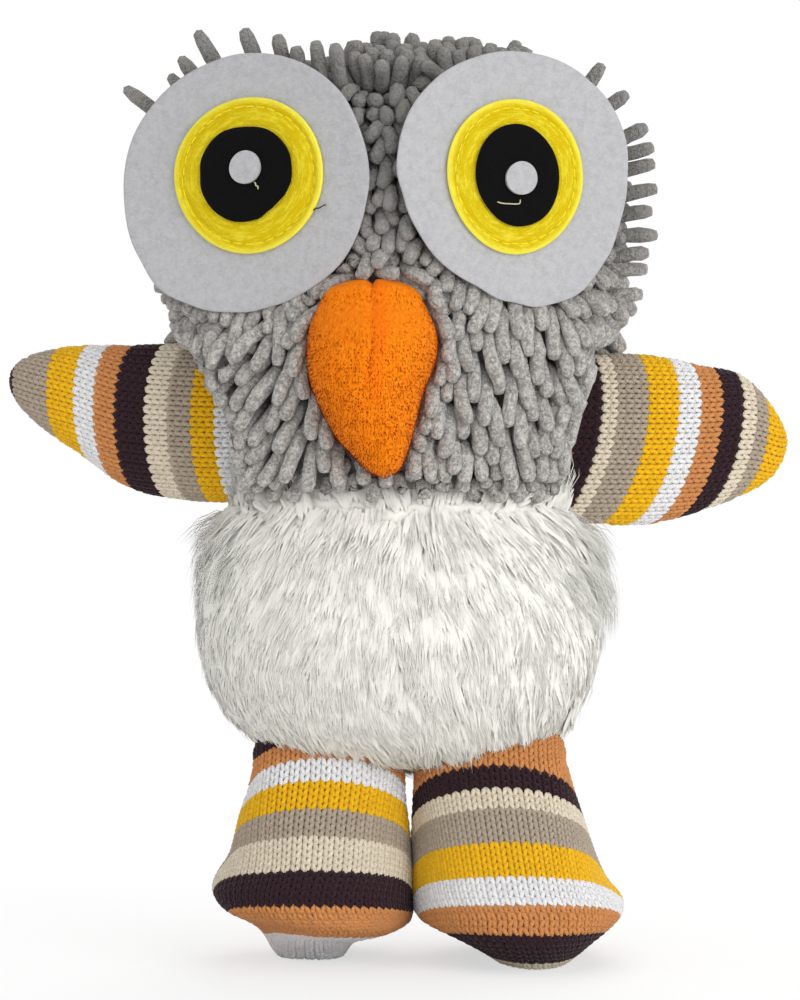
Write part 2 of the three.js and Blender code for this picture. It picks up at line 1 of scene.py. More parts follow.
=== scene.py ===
# A plush owl that stands on two knitted feet: the looks of its pieces, each made by its own tool.
# Lengths are metres, +Z is up, the face looks along -Y, and left and right are the viewer's.
import json
import math

import bpy
import numpy as np
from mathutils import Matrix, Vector, noise
from mathutils.bvhtree import BVHTree
from mathutils.kdtree import KDTree

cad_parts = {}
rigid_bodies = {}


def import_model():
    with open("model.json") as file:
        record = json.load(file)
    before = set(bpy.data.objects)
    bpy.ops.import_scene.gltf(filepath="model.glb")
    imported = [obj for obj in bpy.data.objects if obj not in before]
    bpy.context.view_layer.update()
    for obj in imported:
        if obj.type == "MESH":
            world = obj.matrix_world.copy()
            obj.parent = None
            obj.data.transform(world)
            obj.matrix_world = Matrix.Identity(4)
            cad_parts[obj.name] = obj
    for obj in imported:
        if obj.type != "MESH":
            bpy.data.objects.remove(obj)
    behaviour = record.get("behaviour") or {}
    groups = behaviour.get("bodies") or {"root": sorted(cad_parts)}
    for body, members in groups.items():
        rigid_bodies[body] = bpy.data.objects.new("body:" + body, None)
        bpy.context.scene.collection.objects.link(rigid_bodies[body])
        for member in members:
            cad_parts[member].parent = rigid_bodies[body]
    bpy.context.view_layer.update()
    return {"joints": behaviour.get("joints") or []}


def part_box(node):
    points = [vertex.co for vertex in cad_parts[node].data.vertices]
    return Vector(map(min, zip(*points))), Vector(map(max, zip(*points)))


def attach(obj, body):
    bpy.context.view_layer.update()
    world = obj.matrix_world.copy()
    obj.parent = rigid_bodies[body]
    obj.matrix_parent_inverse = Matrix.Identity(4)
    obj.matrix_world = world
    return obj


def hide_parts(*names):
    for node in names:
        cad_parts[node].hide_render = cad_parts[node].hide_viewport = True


bl_info = {
    "name": "Plush owl",
    "version": (1, 0, 0),
    "blender": (4, 5, 0),
    "location": "View3D > Sidebar > Owl",
    "description": "Makes the pile, fur, felt and knit of a stuffed owl around its packed frame",
    "category": "Object",
}

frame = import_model()

MM = 0.001
FULL_TURN = 2 * math.pi
SEAM_GAP = 0.3 * MM
# Just short of a limb's or a head's pole, where its rings would shrink to a point
NEARLY_WHOLE = 0.9995


def linear(red, green, blue):
    """A colour of the photograph, in shares of 255, as the linear colour that a shader takes."""
    shares = (channel / 255 for channel in (red, green, blue))
    return tuple(s / 12.92 if s <= 0.04045 else ((s + 0.055) / 1.055) ** 2.4 for s in shares)


# The trunk. Rows of a profile, from the bottom up: shares of height, half-width and half-depth
BODY_PROFILE_SHARES = np.array([
    [0, 0, 0],
    [0.02, 0.45, 0.42],
    [0.07, 0.67, 0.64],
    [0.17, 0.84, 0.8],
    [0.35, 0.96, 0.95],
    [0.57, 1, 1],
    [0.8, 0.95, 0.96],
    [1, 0.82, 0.85],
])
HEAD_PROFILE_SHARES = np.array([
    [0, 0.81, 0.88],
    [0.15, 0.88, 0.93],
    [0.34, 0.95, 0.98],
    [0.56, 1, 1],
    [0.76, 0.98, 0.96],
    [0.9, 0.82, 0.8],
    [0.975, 0.52, 0.5],
    [1, 0, 0],
])
# Powers of the ovals across the trunk and the limbs: 2 is an ellipse, and more is squarer
TRUNK_ROUNDNESS = 2.4
LIMB_ROUNDNESS = 2.2
# A small step of a share or an angle, for directions on a surface
NUDGE = 1e-3
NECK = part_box("body_front_panel")[1].z + SEAM_GAP / 2
STUFFING_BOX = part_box("body_stuffing")
TRUNK_MIDDLE = (STUFFING_BOX[0] + STUFFING_BOX[1]) / 2
BODY = {
    "rows": BODY_PROFILE_SHARES,
    "base": NECK - 90 * MM,
    "height": 90 * MM,
    "half_width": 65.5 * MM,
    "half_depth": 48 * MM,
    "pole": 0,
}
HEAD = {
    "rows": HEAD_PROFILE_SHARES,
    "base": NECK,
    "height": 129 * MM,
    "half_width": 62 * MM,
    "half_depth": 44 * MM,
    "pole": 1,
}

# Limbs. Rows of a limb: share of its length, middle, half-width, front depth and back depth.
# Stripes of a limb: the share of its length where each starts, and its yarn.
LEFT_WING_SHARES = np.array([
    [0, 0, 0.98, 1, 1],
    [0.2, 0.02, 0.97, 1.16, 1.16],
    [0.45, 0.09, 0.885, 1.2, 1.2],
    [0.66, 0.3, 0.68, 1.06, 1.06],
    [0.82, 0.42, 0.5, 0.84, 0.84],
    [0.94, 0.52, 0.28, 0.54, 0.54],
    [1, 0.57, 0, 0, 0],
])
RIGHT_WING_SHARES = np.array([
    [0, 0, 1.04, 1, 1],
    [0.2, 0, 1.06, 1.16, 1.16],
    [0.4, 0, 1.04, 1.22, 1.22],
    [0.6, 0.02, 0.9, 1.16, 1.16],
    [0.78, 0.06, 0.75, 1, 1],
    [0.92, -0.03, 0.42, 0.66, 0.66],
    [1, -0.03, 0, 0, 0],
])
LEFT_FOOT_SHARES = np.array([
    [0, 0.17, 0.76, 1, 1],
    [0.12, 0.155, 0.78, 1.16, 1.08],
    [0.3, 0.11, 0.84, 1.75, 1.58],
    [0.5, 0.08, 0.91, 2.45, 2.25],
    [0.63, 0.02, 1.0, 2.9, 2.65],
    [0.71, 0.05, 0.97, 2.95, 2.8],
    [0.745, 0.1, 0.91, 2.88, 2.82],
    [0.78, 0.22, 0.79, 2.75, 2.85],
    [0.82, 0.24, 0.73, 2.5, 2.85],
    [0.86, 0.04, 0.47, 2.0, 2.85],
    [0.92, 0, 0.38, 1.4, 2.75],
    [0.97, 0, 0.33, 0.9, 2.5],
    [0.99, 0, 0.28, 0.7, 2.3],
    [1, 0, 0, 0, 0],
])
RIGHT_FOOT_SHARES = np.array([
    [0, -0.22, 0.77, 1, 1],
    [0.14, -0.19, 0.81, 1.2, 1.1],
    [0.31, -0.14, 0.865, 1.78, 1.6],
    [0.5, -0.08, 0.93, 2.45, 2.25],
    [0.63, -0.03, 1.0, 2.9, 2.65],
    [0.72, 0.05, 1.07, 3.05, 2.8],
    [0.78, 0.045, 1.025, 3.08, 2.85],
    [0.85, 0.115, 0.795, 2.98, 2.85],
    [0.92, 0.16, 0.56, 2.7, 2.75],
    [0.97, 0.2, 0.44, 2.3, 2.5],
    [0.99, 0.2, 0.38, 2.0, 2.3],
    [1, 0.2, 0, 0, 0],
])
BEAK_SHARES = np.array([
    [0, -0.03, 0.81, 1, 1],
    [0.1, -0.03, 0.94, 1.6, 1],
    [0.22, -0.02, 1.0, 2.15, 0.9],
    [0.38, -0.06, 0.94, 2.36, 0.8],
    [0.47, -0.09, 0.85, 2.3, 0.72],
    [0.62, -0.05, 0.72, 1.95, 0.54],
    [0.75, 0, 0.59, 1.6, 0.42],
    [0.86, 0.09, 0.42, 1.2, 0.33],
    [0.94, 0.13, 0.28, 0.85, 0.26],
    [1, 0.16, 0, 0, 0],
])
LEFT_WING_STRIPES = {
    -1: "white",
    0.039: "yellow",
    0.152: "beige",
    0.258: "cream",
    0.341: "dark",
    0.455: "tan",
    0.559: "white",
    0.663: "yellow",
    0.775: "beige",
    0.96: "dark",
}
RIGHT_WING_STRIPES = {
    -1: "tan",
    0: "dark",
    0.108: "cream",
    0.19: "beige",
    0.31: "yellow",
    0.438: "white",
    0.525: "tan",
    0.628: "dark",
    0.728: "cream",
    0.8: "beige",
    0.86: "yellow",
}
LEFT_FOOT_STRIPES = {
    -1: "dark",
    -0.07: "tan",
    0: "white",
    0.095: "yellow",
    0.235: "beige",
    0.35: "cream",
    0.5: "dark",
    0.655: "tan",
    0.838: "white",
}
RIGHT_FOOT_STRIPES = {
    -1: "tan",
    0.018: "dark",
    0.118: "cream",
    0.23: "beige",
    0.37: "yellow",
    0.52: "white",
    0.66: "tan",
    0.81: "dark",
    0.955: "cream",
}


def length_property(name, description, default, low, high, precision=4):
    """A length for the sidebar, given in millimetres."""
    return bpy.props.FloatProperty(
        name=name, description=description, default=default * MM, min=low * MM, max=high * MM,
        unit="LENGTH", precision=precision)


def colour_property(name, description, *channels):
    """A colour for the sidebar, given in shares of 255."""
    return bpy.props.FloatVectorProperty(
        name=name, description=description, default=linear(*channels), min=0, max=1,
        subtype="COLOR")


class OwlSizes(bpy.types.PropertyGroup):
    """Sizes of the owl's pile, fur, felt and knit."""

    noodle_length: length_property(
        "Noodle length", "Length of a chenille noodle of the head", 21, 10, 40)
    noodle_thickness: length_property(
        "Noodle thickness", "Thickness of a chenille noodle", 4.8, 2, 8)
    noodle_pitch: length_property(
        "Noodle pitch", "Distance between the roots of two noodles", 7.2, 5, 15)
    fur_length: length_property(
        "Fur length", "Length of the body's fur", 12.5, 5, 40)
    fur_thickness: length_property(
        "Fur thickness", "Thickness of a strand of fur at its root", 0.2, 0.1, 2, precision=5)
    fur_strands: bpy.props.IntProperty(
        name="Fur strands", description="Strands in each quarter of the body's fur",
        default=9000, min=100, max=16000)
    fur_depth: length_property(
        "Fur depth", "Depth of the combed fur over the body's backing", 5.2, 1, 20)
    felt_thickness: length_property(
        "Felt thickness", "Thickness of the eyes' felt", 1.3, 0.5, 3)
    wale_pitch: length_property(
        "Wale pitch", "Width of a column of knitted stitches", 3.2, 1.5, 8)
    course_pitch: length_property(
        "Course pitch", "Height of a row of knitted stitches", 2.5, 1.5, 8)


class OwlColours(bpy.types.PropertyGroup):
    """Colours of the owl's fabrics, yarns and threads."""

    chenille: colour_property("Chenille", "Colour of the head's noodles", 206, 202, 196)
    fur: colour_property("Fur", "Colour of the body's fur", 243, 242, 235)
    grey_felt: colour_property(
        "Grey felt", "Colour of the eyes' discs and highlights", 180, 180, 182)
    yellow_felt: colour_property("Yellow felt", "Colour of the irises", 201, 178, 3)
    black_felt: colour_property("Black felt", "Colour of the pupils", 5, 5, 5)
    beak: colour_property("Beak", "Colour of the beak's short pile", 243, 130, 6)
    dark: colour_property("Dark yarn", "Colour of the dark brown stripes", 50, 29, 36)
    tan: colour_property("Tan yarn", "Colour of the tan stripes", 208, 141, 84)
    white: colour_property("White yarn", "Colour of the white stripes", 237, 236, 237)
    yellow: colour_property("Yellow yarn", "Colour of the yellow stripes", 241, 187, 21)
    beige: colour_property("Beige yarn", "Colour of the grey-beige stripes", 178, 163, 145)
    cream: colour_property("Cream yarn", "Colour of the cream stripes", 226, 214, 192)


YARNS = ("dark", "tan", "white", "yellow", "beige", "cream")


def smooth_step(value, low, high):
    """0 up to the first limit, 1 from the second one, and a smooth curve between them."""
    t = np.clip((value - low) / (high - low), 0, 1)
    return t * t * (3 - 2 * t)


def signed_power(value, power):
    """A power of the value's size, with the value's own sign."""
    return np.sign(value) * np.abs(value) ** power


def unit(vectors):
    """Vectors along their last axis, at a length of one."""
    length = np.linalg.norm(vectors, axis=-1, keepdims=True)
    return vectors / np.maximum(length, 1e-12)


def angles_round(count):
    """Equal steps once round a circle."""
    return np.arange(count) / count * FULL_TURN


def travelled(line):
    """How far along a line of points each of them lies."""
    return np.concatenate([[0], np.cumsum(np.linalg.norm(np.diff(line, axis=0), axis=1))])


def table_at(rows, position):
    """The values of a table of rows at some positions, on a smooth curve through the rows."""
    position = np.asarray(position, float)
    first, values = rows[:, 0], rows[:, 1:]
    i = np.clip(np.searchsorted(first, position, side="right") - 1, 0, len(rows) - 2)
    before, after = np.maximum(i - 1, 0), np.minimum(i + 2, len(rows) - 1)
    span = (first[i + 1] - first[i])[..., None]
    t = np.clip((position - first[i])[..., None] / span, 0, 1)
    start, end = values[i], values[i + 1]
    slope_from = (end - values[before]) / (first[i + 1] - first[before])[..., None] * span
    slope_to = (values[after] - start) / (first[after] - first[i])[..., None] * span
    return (
        (2 * t**3 - 3 * t**2 + 1) * start
        + (t**3 - 2 * t**2 + t) * slope_from
        + (3 * t**2 - 2 * t**3) * end
        + (t**3 - t**2) * slope_to
    )


def trunk_point(form, share, angle, inset=0.0):
    """Points of the head's or the body's surface, drawn in by an inset. Angle 0 is at the right."""
    share, angle = np.broadcast_arrays(np.asarray(share, float), np.asarray(angle, float))
    wide, deep = np.moveaxis(table_at(form["rows"], share), -1, 0)
    x = np.maximum(wide * form["half_width"] - inset, 0)
    y = np.maximum(deep * form["half_depth"] - inset, 0)
    near_pole = share if form["pole"] else 1 - share
    lift = inset * smooth_step(near_pole, 0.5, 1) * (-1 if form["pole"] else 1)
    return np.stack([
        TRUNK_MIDDLE.x + x * signed_power(np.cos(angle), 2 / TRUNK_ROUNDNESS),
        TRUNK_MIDDLE.y + y * signed_power(np.sin(angle), 2 / TRUNK_ROUNDNESS),
        form["base"] + share * form["height"] + lift,
    ], axis=-1)


def trunk_normal(form, share, angle):
    """Outward directions of the head's or the body's surface."""
    low, high = np.clip(share - NUDGE, 0, 1), np.clip(share + NUDGE, 0, 1)
    up = trunk_point(form, high, angle) - trunk_point(form, low, angle)
    around = trunk_point(form, share, angle + NUDGE) - trunk_point(form, share, angle - NUDGE)
    return unit(np.cross(around, up))


def trunk_place(form, points):
    """Points as shares of the half-width from the trunk's middle, and of the form's height."""
    return (
        (points[:, 0] - TRUNK_MIDDLE.x) / form["half_width"],
        (points[:, 2] - form["base"]) / form["height"],
    )


class Limb:
    """A stuffed limb in its own frame: out from its seam, to its back and along the seam."""

    def __init__(self, name, rows, joint, length, half_width, root_radius, out, back, seam):
        self.name, self.rows = name, rows
        self.length, self.half_width, self.root_radius = length, half_width, root_radius
        self.place = np.array(joint_place(joint))
        self.root_share = -math.pi / 2 * root_radius / length
        self.axes = np.array([out, back, seam], float)

    def section(self, share, inset=0.0):
        """Middle, half-width, front depth and back depth of the sections at some shares."""
        middle, wide, front, back = np.moveaxis(table_at(self.rows, share), -1, 0)
        return (
            middle * self.half_width,
            np.maximum(wide * self.half_width - inset, 0),
            np.maximum(front * self.root_radius - inset, 0),
            np.maximum(back * self.root_radius - inset, 0),
        )

    def point(self, share, angle, inset=0.0):
        """Points of the surface. Angle 0 is at the seam's far end and a quarter turn in front.
        Below share 0 the round root turns back to a line."""
        share, angle = np.broadcast_arrays(np.asarray(share, float), np.asarray(angle, float))
        middle, wide, front, back = self.section(np.maximum(share, 0), inset)
        sine = np.sin(angle)
        depth = np.where(sine > 0, -front, back) * np.abs(sine) ** (2 / LIMB_ROUNDNESS)
        along = middle + wide * signed_power(np.cos(angle), 2 / LIMB_ROUNDNESS)
        turn = np.clip(-share * self.length / self.root_radius, 0, math.pi / 2)
        out = share * self.length - inset * smooth_step(share, 0.5, 1)
        out = np.where(share < 0, -np.abs(depth) * np.sin(turn), out)
        return self.to_world(np.stack([out, depth * np.cos(turn), along], axis=-1))

    def to_world(self, own):
        return self.place + own @ self.axes

    def to_own(self, points):
        return (points - self.place) @ self.axes.T

    def push_out(self, points, margin):
        """Moves the points that are in the limb, or nearer to it than a margin, out of it."""
        own = self.to_own(points)
        middle, wide, front, back = self.section(np.clip(own[:, 0] / self.length, 0, 1))
        depth = np.where(own[:, 1] < 0, front, back) + margin
        wide = wide + margin
        deep_share = own[:, 1] / depth
        wide_share = (own[:, 2] - middle) / wide
        reach = np.hypot(deep_share, wide_share)
        inside = (reach < 1) & (own[:, 0] > -self.root_radius) & (own[:, 0] < self.length + margin)
        grow = np.where(inside, 1 / np.maximum(reach, 0.25), 1)
        own[:, 1] *= grow
        own[:, 2] = middle + (own[:, 2] - middle) * grow
        return self.to_world(own)


def joint_place(name):
    """Where a joint's axis passes, in the row frame."""
    joint = next(j for j in frame["joints"] if j["name"] == name)
    return joint["pos_m"]


WING_BACK_SWEEP = math.radians(14)
SWEEP_COSINE, SWEEP_SINE = math.cos(WING_BACK_SWEEP), math.sin(WING_BACK_SWEEP)
# Length, half-width at the seam and radius of the root
WING_SIZES = (77 * MM, 25.5 * MM, 10.5 * MM)
FOOT_SIZES = (62.5 * MM, 31 * MM, 15 * MM)
BEAK_SIZES = (54 * MM, 20.8 * MM, 9 * MM)
HANGING = {"out": (0, 0, -1), "back": (0, 1, 0), "seam": (1, 0, 0)}
LEFT_WING = Limb(
    "left_wing", LEFT_WING_SHARES, "left_wing_seam", *WING_SIZES,
    out=(-SWEEP_COSINE, SWEEP_SINE, 0), back=(SWEEP_SINE, SWEEP_COSINE, 0), seam=(0, 0, 1))
RIGHT_WING = Limb(
    "right_wing", RIGHT_WING_SHARES, "right_wing_seam", *WING_SIZES,
    out=(SWEEP_COSINE, SWEEP_SINE, 0), back=(-SWEEP_SINE, SWEEP_COSINE, 0), seam=(0, 0, 1))
LEFT_FOOT = Limb("left_foot", LEFT_FOOT_SHARES, "left_foot_seam", *FOOT_SIZES, **HANGING)
RIGHT_FOOT = Limb("right_foot", RIGHT_FOOT_SHARES, "right_foot_seam", *FOOT_SIZES, **HANGING)
BEAK = Limb("beak", BEAK_SHARES, "beak_seam", *BEAK_SIZES, **HANGING)


# Mesh making
def fill_mesh(mesh, points, faces):
    """Puts points and faces, given as arrays of equal corner counts, into a mesh."""
    corners = np.concatenate([f.reshape(-1) for f in faces]).astype(np.int32)
    counts = np.concatenate([np.full(len(f), f.shape[1]) for f in faces])
    starts = np.concatenate([[0], np.cumsum(counts)[:-1]]).astype(np.int32)
    mesh.vertices.add(len(points))
    mesh.loops.add(len(corners))
    mesh.polygons.add(len(counts))
    mesh.vertices.foreach_set("co", np.asarray(points, np.float32).reshape(-1))
    mesh.loops.foreach_set("vertex_index", corners)
    mesh.polygons.foreach_set("loop_start", starts)
    mesh.polygons.foreach_set("use_smooth", np.ones(len(counts), bool))
    mesh.update(calc_edges=True)
    mesh.validate()


def new_piece(name, points, faces, *materials):
    """A piece from arrays, with its place in its mesh and its object at the origin."""
    mesh = bpy.data.meshes.new(name)
    fill_mesh(mesh, points, faces)
    for material in materials:
        mesh.materials.append(material)
    piece = bpy.data.objects.new(name, mesh)
    bpy.context.scene.collection.objects.link(piece)
    return piece


def read_array(collection, name, width=1):
    """One property of all the items of a mesh's collection, with a row for each item."""
    values = np.empty(len(collection) * width, np.float32)
    collection.foreach_get(name, values)
    return values.reshape(-1, width) if width > 1 else values


def read_points(mesh):
    """Where a mesh's points are."""
    return read_array(mesh.vertices, "co", 3).astype(float)


def move_points(piece, points):
    """Puts a piece's points at new places."""
    piece.data.vertices.foreach_set("co", points.reshape(-1).astype(np.float32))
    piece.data.update()


def deselect_all():
    for other in bpy.context.view_layer.objects:
        other.select_set(False)


def select_only(piece):
    deselect_all()
    piece.select_set(True)
    bpy.context.view_layer.objects.active = piece


def apply_modifier(piece, kind, **settings):
    """Adds a modifier with its settings to a piece, and applies it."""
    select_only(piece)
    modifier = piece.modifiers.new(kind.lower(), kind)
    for name, value in settings.items():
        setattr(modifier, name, value)
    bpy.ops.object.modifier_apply(modifier=modifier.name)


def set_attribute(piece, name, values):
    """A value for each vertex, which a material reads by its name."""
    attribute = piece.data.attributes.new(name, "FLOAT", "POINT")
    attribute.data.foreach_set("value", np.asarray(values, np.float32).reshape(-1))


def ring_faces(rings, sides):
    """Quads between neighbouring rings of points."""
    columns = np.arange(sides)
    rows = np.arange(rings - 1)[:, None] * sides
    a = rows + columns
    b = rows + (columns + 1) % sides
    return np.stack([a, b, b + sides, a + sides], axis=-1).reshape(-1, 4)


def tube_faces(rings, sides):
    """Faces of one closed tube: its rings' points, then its start point and its end point."""
    around = np.arange(sides)
    start, end = rings * sides, rings * sides + 1
    last = (rings - 1) * sides
    head = np.stack([np.full(sides, start), (around + 1) % sides, around], axis=-1)
    tail = np.stack([np.full(sides, end), last + around, last + (around + 1) % sides], axis=-1)
    return ring_faces(rings, sides), np.concatenate([head, tail])


def copies(faces, count, points_each):
    """The faces of many like shapes whose points follow one another."""
    shift = np.arange(count)[:, None, None] * points_each
    return (faces[None] + shift).reshape(-1, faces.shape[1])


def tubes(paths, radii, sides):
    """Points and faces of closed tubes along many paths of equal point counts, and the points
    of each tube. A path's end points are the tips, and those between carry rings of the radii."""
    count = len(paths)
    tangents = unit(np.gradient(paths, axis=1))[:, 1:-1]
    normal = np.cross(tangents[:, 0], tangents[:, -1])
    weak = np.linalg.norm(normal, axis=-1) < 1e-3
    steep = np.abs(tangents[:, 0, 2:]) >= 0.9
    spare = np.cross(tangents[:, 0], np.where(steep, [1.0, 0, 0], [0, 0, 1.0]))
    normal = unit(np.where(weak[:, None], spare, normal))[:, None]
    side = unit(normal - np.sum(normal * tangents, axis=-1, keepdims=True) * tangents)
    other = np.cross(tangents, side)
    cosine, sine = np.cos(angles_round(sides))[:, None], np.sin(angles_round(sides))[:, None]
    rings = tangents.shape[1]
    radii = np.broadcast_to(radii, (count, rings))[:, :, None, None]
    spokes = side[:, :, None] * cosine + other[:, :, None] * sine
    surface = paths[:, 1:-1, None] + spokes * radii
    points = np.concatenate(
        [surface.reshape(count, -1, 3), paths[:, :1], paths[:, -1:]], axis=1)
    each = rings * sides + 2
    quads, triangles = tube_faces(rings, sides)
    return points.reshape(-1, 3), [copies(quads, count, each), copies(triangles, count, each)], each


def along_paths(paths, positions):
    """Points at shares of each path's length, on smooth curves through the path's points."""
    steps = paths.shape[1]
    place = np.asarray(positions) * (steps - 1)
    i = np.clip(place.astype(int), 0, steps - 2)
    t = (place - i)[None, :, None]
    before, after = np.maximum(i - 1, 0), np.minimum(i + 2, steps - 1)
    p0, p1, p2, p3 = paths[:, before], paths[:, i], paths[:, i + 1], paths[:, after]
    return 0.5 * (
        2 * p1 + (p2 - p0) * t + (2 * p0 - 5 * p1 + 4 * p2 - p3) * t**2
        + (3 * p1 - p0 - 3 * p2 + p3) * t**3)


def shell(rings):
    """Points and faces of a closed shell through rings of points, with both ends closed."""
    rings = np.asarray(rings)
    count, sides = rings.shape[:2]
    points = np.concatenate([rings.reshape(-1, 3), [rings[0].mean(0)], [rings[-1].mean(0)]])
    quads, triangles = tube_faces(count, sides)
    return points, [quads, triangles]


def tree_of(piece):
    """A piece's surface, ready to be asked for its nearest point."""
    mesh = piece.data
    points = [v.co for v in mesh.vertices]
    return BVHTree.FromPolygons(points, [tuple(p.vertices) for p in mesh.polygons])


def kd_tree(points):
    """Points, ready to be asked which of them is nearest."""
    tree = KDTree(len(points))
    for i, point in enumerate(points):
        tree.insert(point, i)
    tree.balance()
    return tree


def settle_on(tree, points, heights):
    """Points moved to the surface below them and then raised from it by their heights."""
    settled = np.empty_like(points)
    for i, point in enumerate(points):
        place, normal, _, _ = tree.find_nearest(point)
        settled[i] = place + normal * heights[i]
    return settled


def dress(piece, body, slot, *nodes):
    """Ties a piece to its body, and hides the nodes that it stands for. The slot is not used."""
    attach(piece, body)
    if nodes:
        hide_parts(*nodes)
    return piece


# Materials
def math_node(nodes, links, operation, *values):
    """What a Math node makes of other nodes' outputs and of plain numbers."""
    node = nodes.new("ShaderNodeMath")
    node.operation = operation
    for socket, value in zip(node.inputs, values):
        if isinstance(value, float):
            socket.default_value = value
        else:
            links.new(value, socket)
    return node.outputs["Value"]


class Finish:
    """A fabric's material, with its shader and the helpers that add detail to it."""

    def __init__(self, name, colour, roughness=0.95, sheen=0.0, sheen_roughness=0.4):
        self.material = bpy.data.materials.new(name)
        self.material.use_nodes = True
        self.nodes = self.material.node_tree.nodes
        self.links = self.material.node_tree.links
        self.shader = self.nodes["Principled BSDF"]
        self.colour = colour
        self.set("Base Color", (*colour, 1))
        self.set("Roughness", roughness)
        self.set("Specular IOR Level", 0.15)
        self.set("Sheen Weight", sheen)
        self.set("Sheen Roughness", sheen_roughness)
        self.place = self.nodes.new("ShaderNodeTexCoord").outputs["Object"]
        self.height = None

    def set(self, socket, value):
        self.shader.inputs[socket].default_value = value

    def noise(self, scale, detail=3.0, roughness=0.6, stretch=None):
        """A noise of the piece's own coordinates. The scale is in waves a metre."""
        node = self.nodes.new("ShaderNodeTexNoise")
        node.inputs["Scale"].default_value = scale
        node.inputs["Detail"].default_value = detail
        node.inputs["Roughness"].default_value = roughness
        place = self.place
        if stretch:
            mapping = self.nodes.new("ShaderNodeMapping")
            mapping.inputs["Scale"].default_value = stretch
            self.links.new(place, mapping.inputs["Vector"])
            place = mapping.outputs["Vector"]
        self.links.new(place, node.inputs["Vector"])
        return node.outputs["Fac"]

    def math(self, operation, *values):
        return math_node(self.nodes, self.links, operation, *values)

    def attribute(self, name):
        """What a piece carries for its material under a name."""
        node = self.nodes.new("ShaderNodeAttribute")
        node.attribute_name = name
        return node.outputs["Fac"]

    def spread(self, value, low, high, to_low=0.0, to_high=1.0):
        """A value between two limits, spread over a wider range and kept in it."""
        node = self.nodes.new("ShaderNodeMapRange")
        node.inputs["From Min"].default_value = low
        node.inputs["From Max"].default_value = high
        node.inputs["To Min"].default_value = to_low
        node.inputs["To Max"].default_value = to_high
        self.links.new(value, node.inputs["Value"])
        return node.outputs["Result"]

    def tint(self, factor, colour):
        """Mixes another colour into the base colour by a factor."""
        mix = self.nodes.new("ShaderNodeMix")
        mix.data_type = "RGBA"
        base = self.shader.inputs["Base Color"]
        if base.links:
            self.links.new(base.links[0].from_socket, mix.inputs["A"])
        else:
            mix.inputs["A"].default_value = (*self.colour, 1)
        mix.inputs["B"].default_value = (*colour, 1)
        self.links.new(factor, mix.inputs["Factor"])
        self.links.new(mix.outputs["Result"], base)
        return self

    def raised(self, value, distance, strength=1.0):
        """Raises the surface by a value times a distance, over what is raised already."""
        bump = self.nodes.new("ShaderNodeBump")
        bump.inputs["Distance"].default_value = distance
        bump.inputs["Strength"].default_value = strength
        self.links.new(value, bump.inputs["Height"])
        if self.height:
            self.links.new(self.height, bump.inputs["Normal"])
        self.height = bump.outputs["Normal"]
        self.links.new(self.height, self.shader.inputs["Normal"])
        return self

    def shade(self, share):
        """The fabric's own colour, darker or lighter by a share."""
        return tuple(min(channel * share, 1.0) for channel in self.colour)


def pile_finish(name, colour):
    """Chenille: velvety knobs of cut pile, mottled with painted shade and painted highlights for
    the knobs, with painted shade towards a noodle's root and over the head's top.
    """
    finish = Finish(name, colour, sheen=0.3, sheen_roughness=0.5)
    finish.tint(finish.spread(finish.attribute("hue"), 0, 1, 0, 0.5), finish.shade(0.66))
    # Painted shade between the pile's knobs, as dark mottling
    finish.tint(finish.spread(finish.noise(620, 3, 0.8), 0.44, 0.56, 0, 0.8), finish.shade(0.42))
    # Painted highlights on the pile's knobs, as pale mottling
    finish.tint(finish.spread(finish.noise(900, 2, 0.6), 0.55, 0.66, 0, 0.6), finish.shade(1.3))
    # Painted shade over the head's top, where the noodles point up and away from the light
    finish.tint(finish.spread(finish.attribute("upper"), 0, 1, 0, 0.8), finish.shade(0.36))
    # Painted shade towards each noodle's root, where the noodles shade each other
    finish.tint(finish.spread(finish.attribute("along"), 0.5, 0.0, 0, 0.6), finish.shade(0.3))
    finish.raised(finish.noise(800, 3, 0.6), 2.2 * MM, 1.0)
    finish.raised(finish.noise(2500, 2, 0.5), 0.4 * MM, 0.6)
    return finish.material


def fur_finish(name, colour):
    """Long fur: soft white strands, a little warmer here and there."""
    finish = Finish(name, colour, roughness=0.9)
    finish.tint(finish.spread(finish.attribute("hue"), 0, 1, 0, 0.3), linear(243, 240, 231))
    streaks = finish.noise(1900, 3, 0.7, (1, 1, 0.16))
    finish.tint(finish.spread(streaks, 0.45, 0.65, 0, 0.3), linear(242, 239, 230))
    finish.raised(streaks, 0.35 * MM, 0.12)
    return finish.material


# Where the stitches draw the iris in, as a share of its radius
STITCH_GROOVE = 0.885


def iris_rings(finish):
    """A paler rim that is a painted highlight on the iris's raised edge, deeper felt inside,
    painted shade in the sunken ring of the stitches, and fibres drawn round by stitches.
    """
    out = finish.attribute("out")
    place = finish.attribute("around").node.outputs["Vector"]
    deep, pale = (0.46, 0.64, 0.6, (216, 180, 0)), (0.54, 0.4, 0.45, (248, 232, 70))
    for low, high, factor, colour in (deep, pale):
        streaks = finish.noise(1, 4, 0.75)
        finish.links.new(place, streaks.node.inputs["Vector"])
        finish.tint(finish.spread(streaks, low, high, 0, factor), linear(*colour))
    # Painted highlight on the iris's raised rim
    finish.tint(finish.spread(out, 0.93, 0.99, 0, 0.7), linear(248, 242, 90))
    # Painted shade in the sunken ring where the stitches draw the felt in
    painted_groove_shade = finish.math("COMPARE", out, STITCH_GROOVE, 0.012)
    finish.tint(finish.spread(painted_groove_shade, 0, 1, 0, 0.45), linear(196, 170, 0))
    ripple = finish.math("SINE", finish.spread(out, 0, 1, 0, 240))
    finish.raised(finish.spread(ripple, -1, 1), 0.14 * MM, 0.4)
    return finish


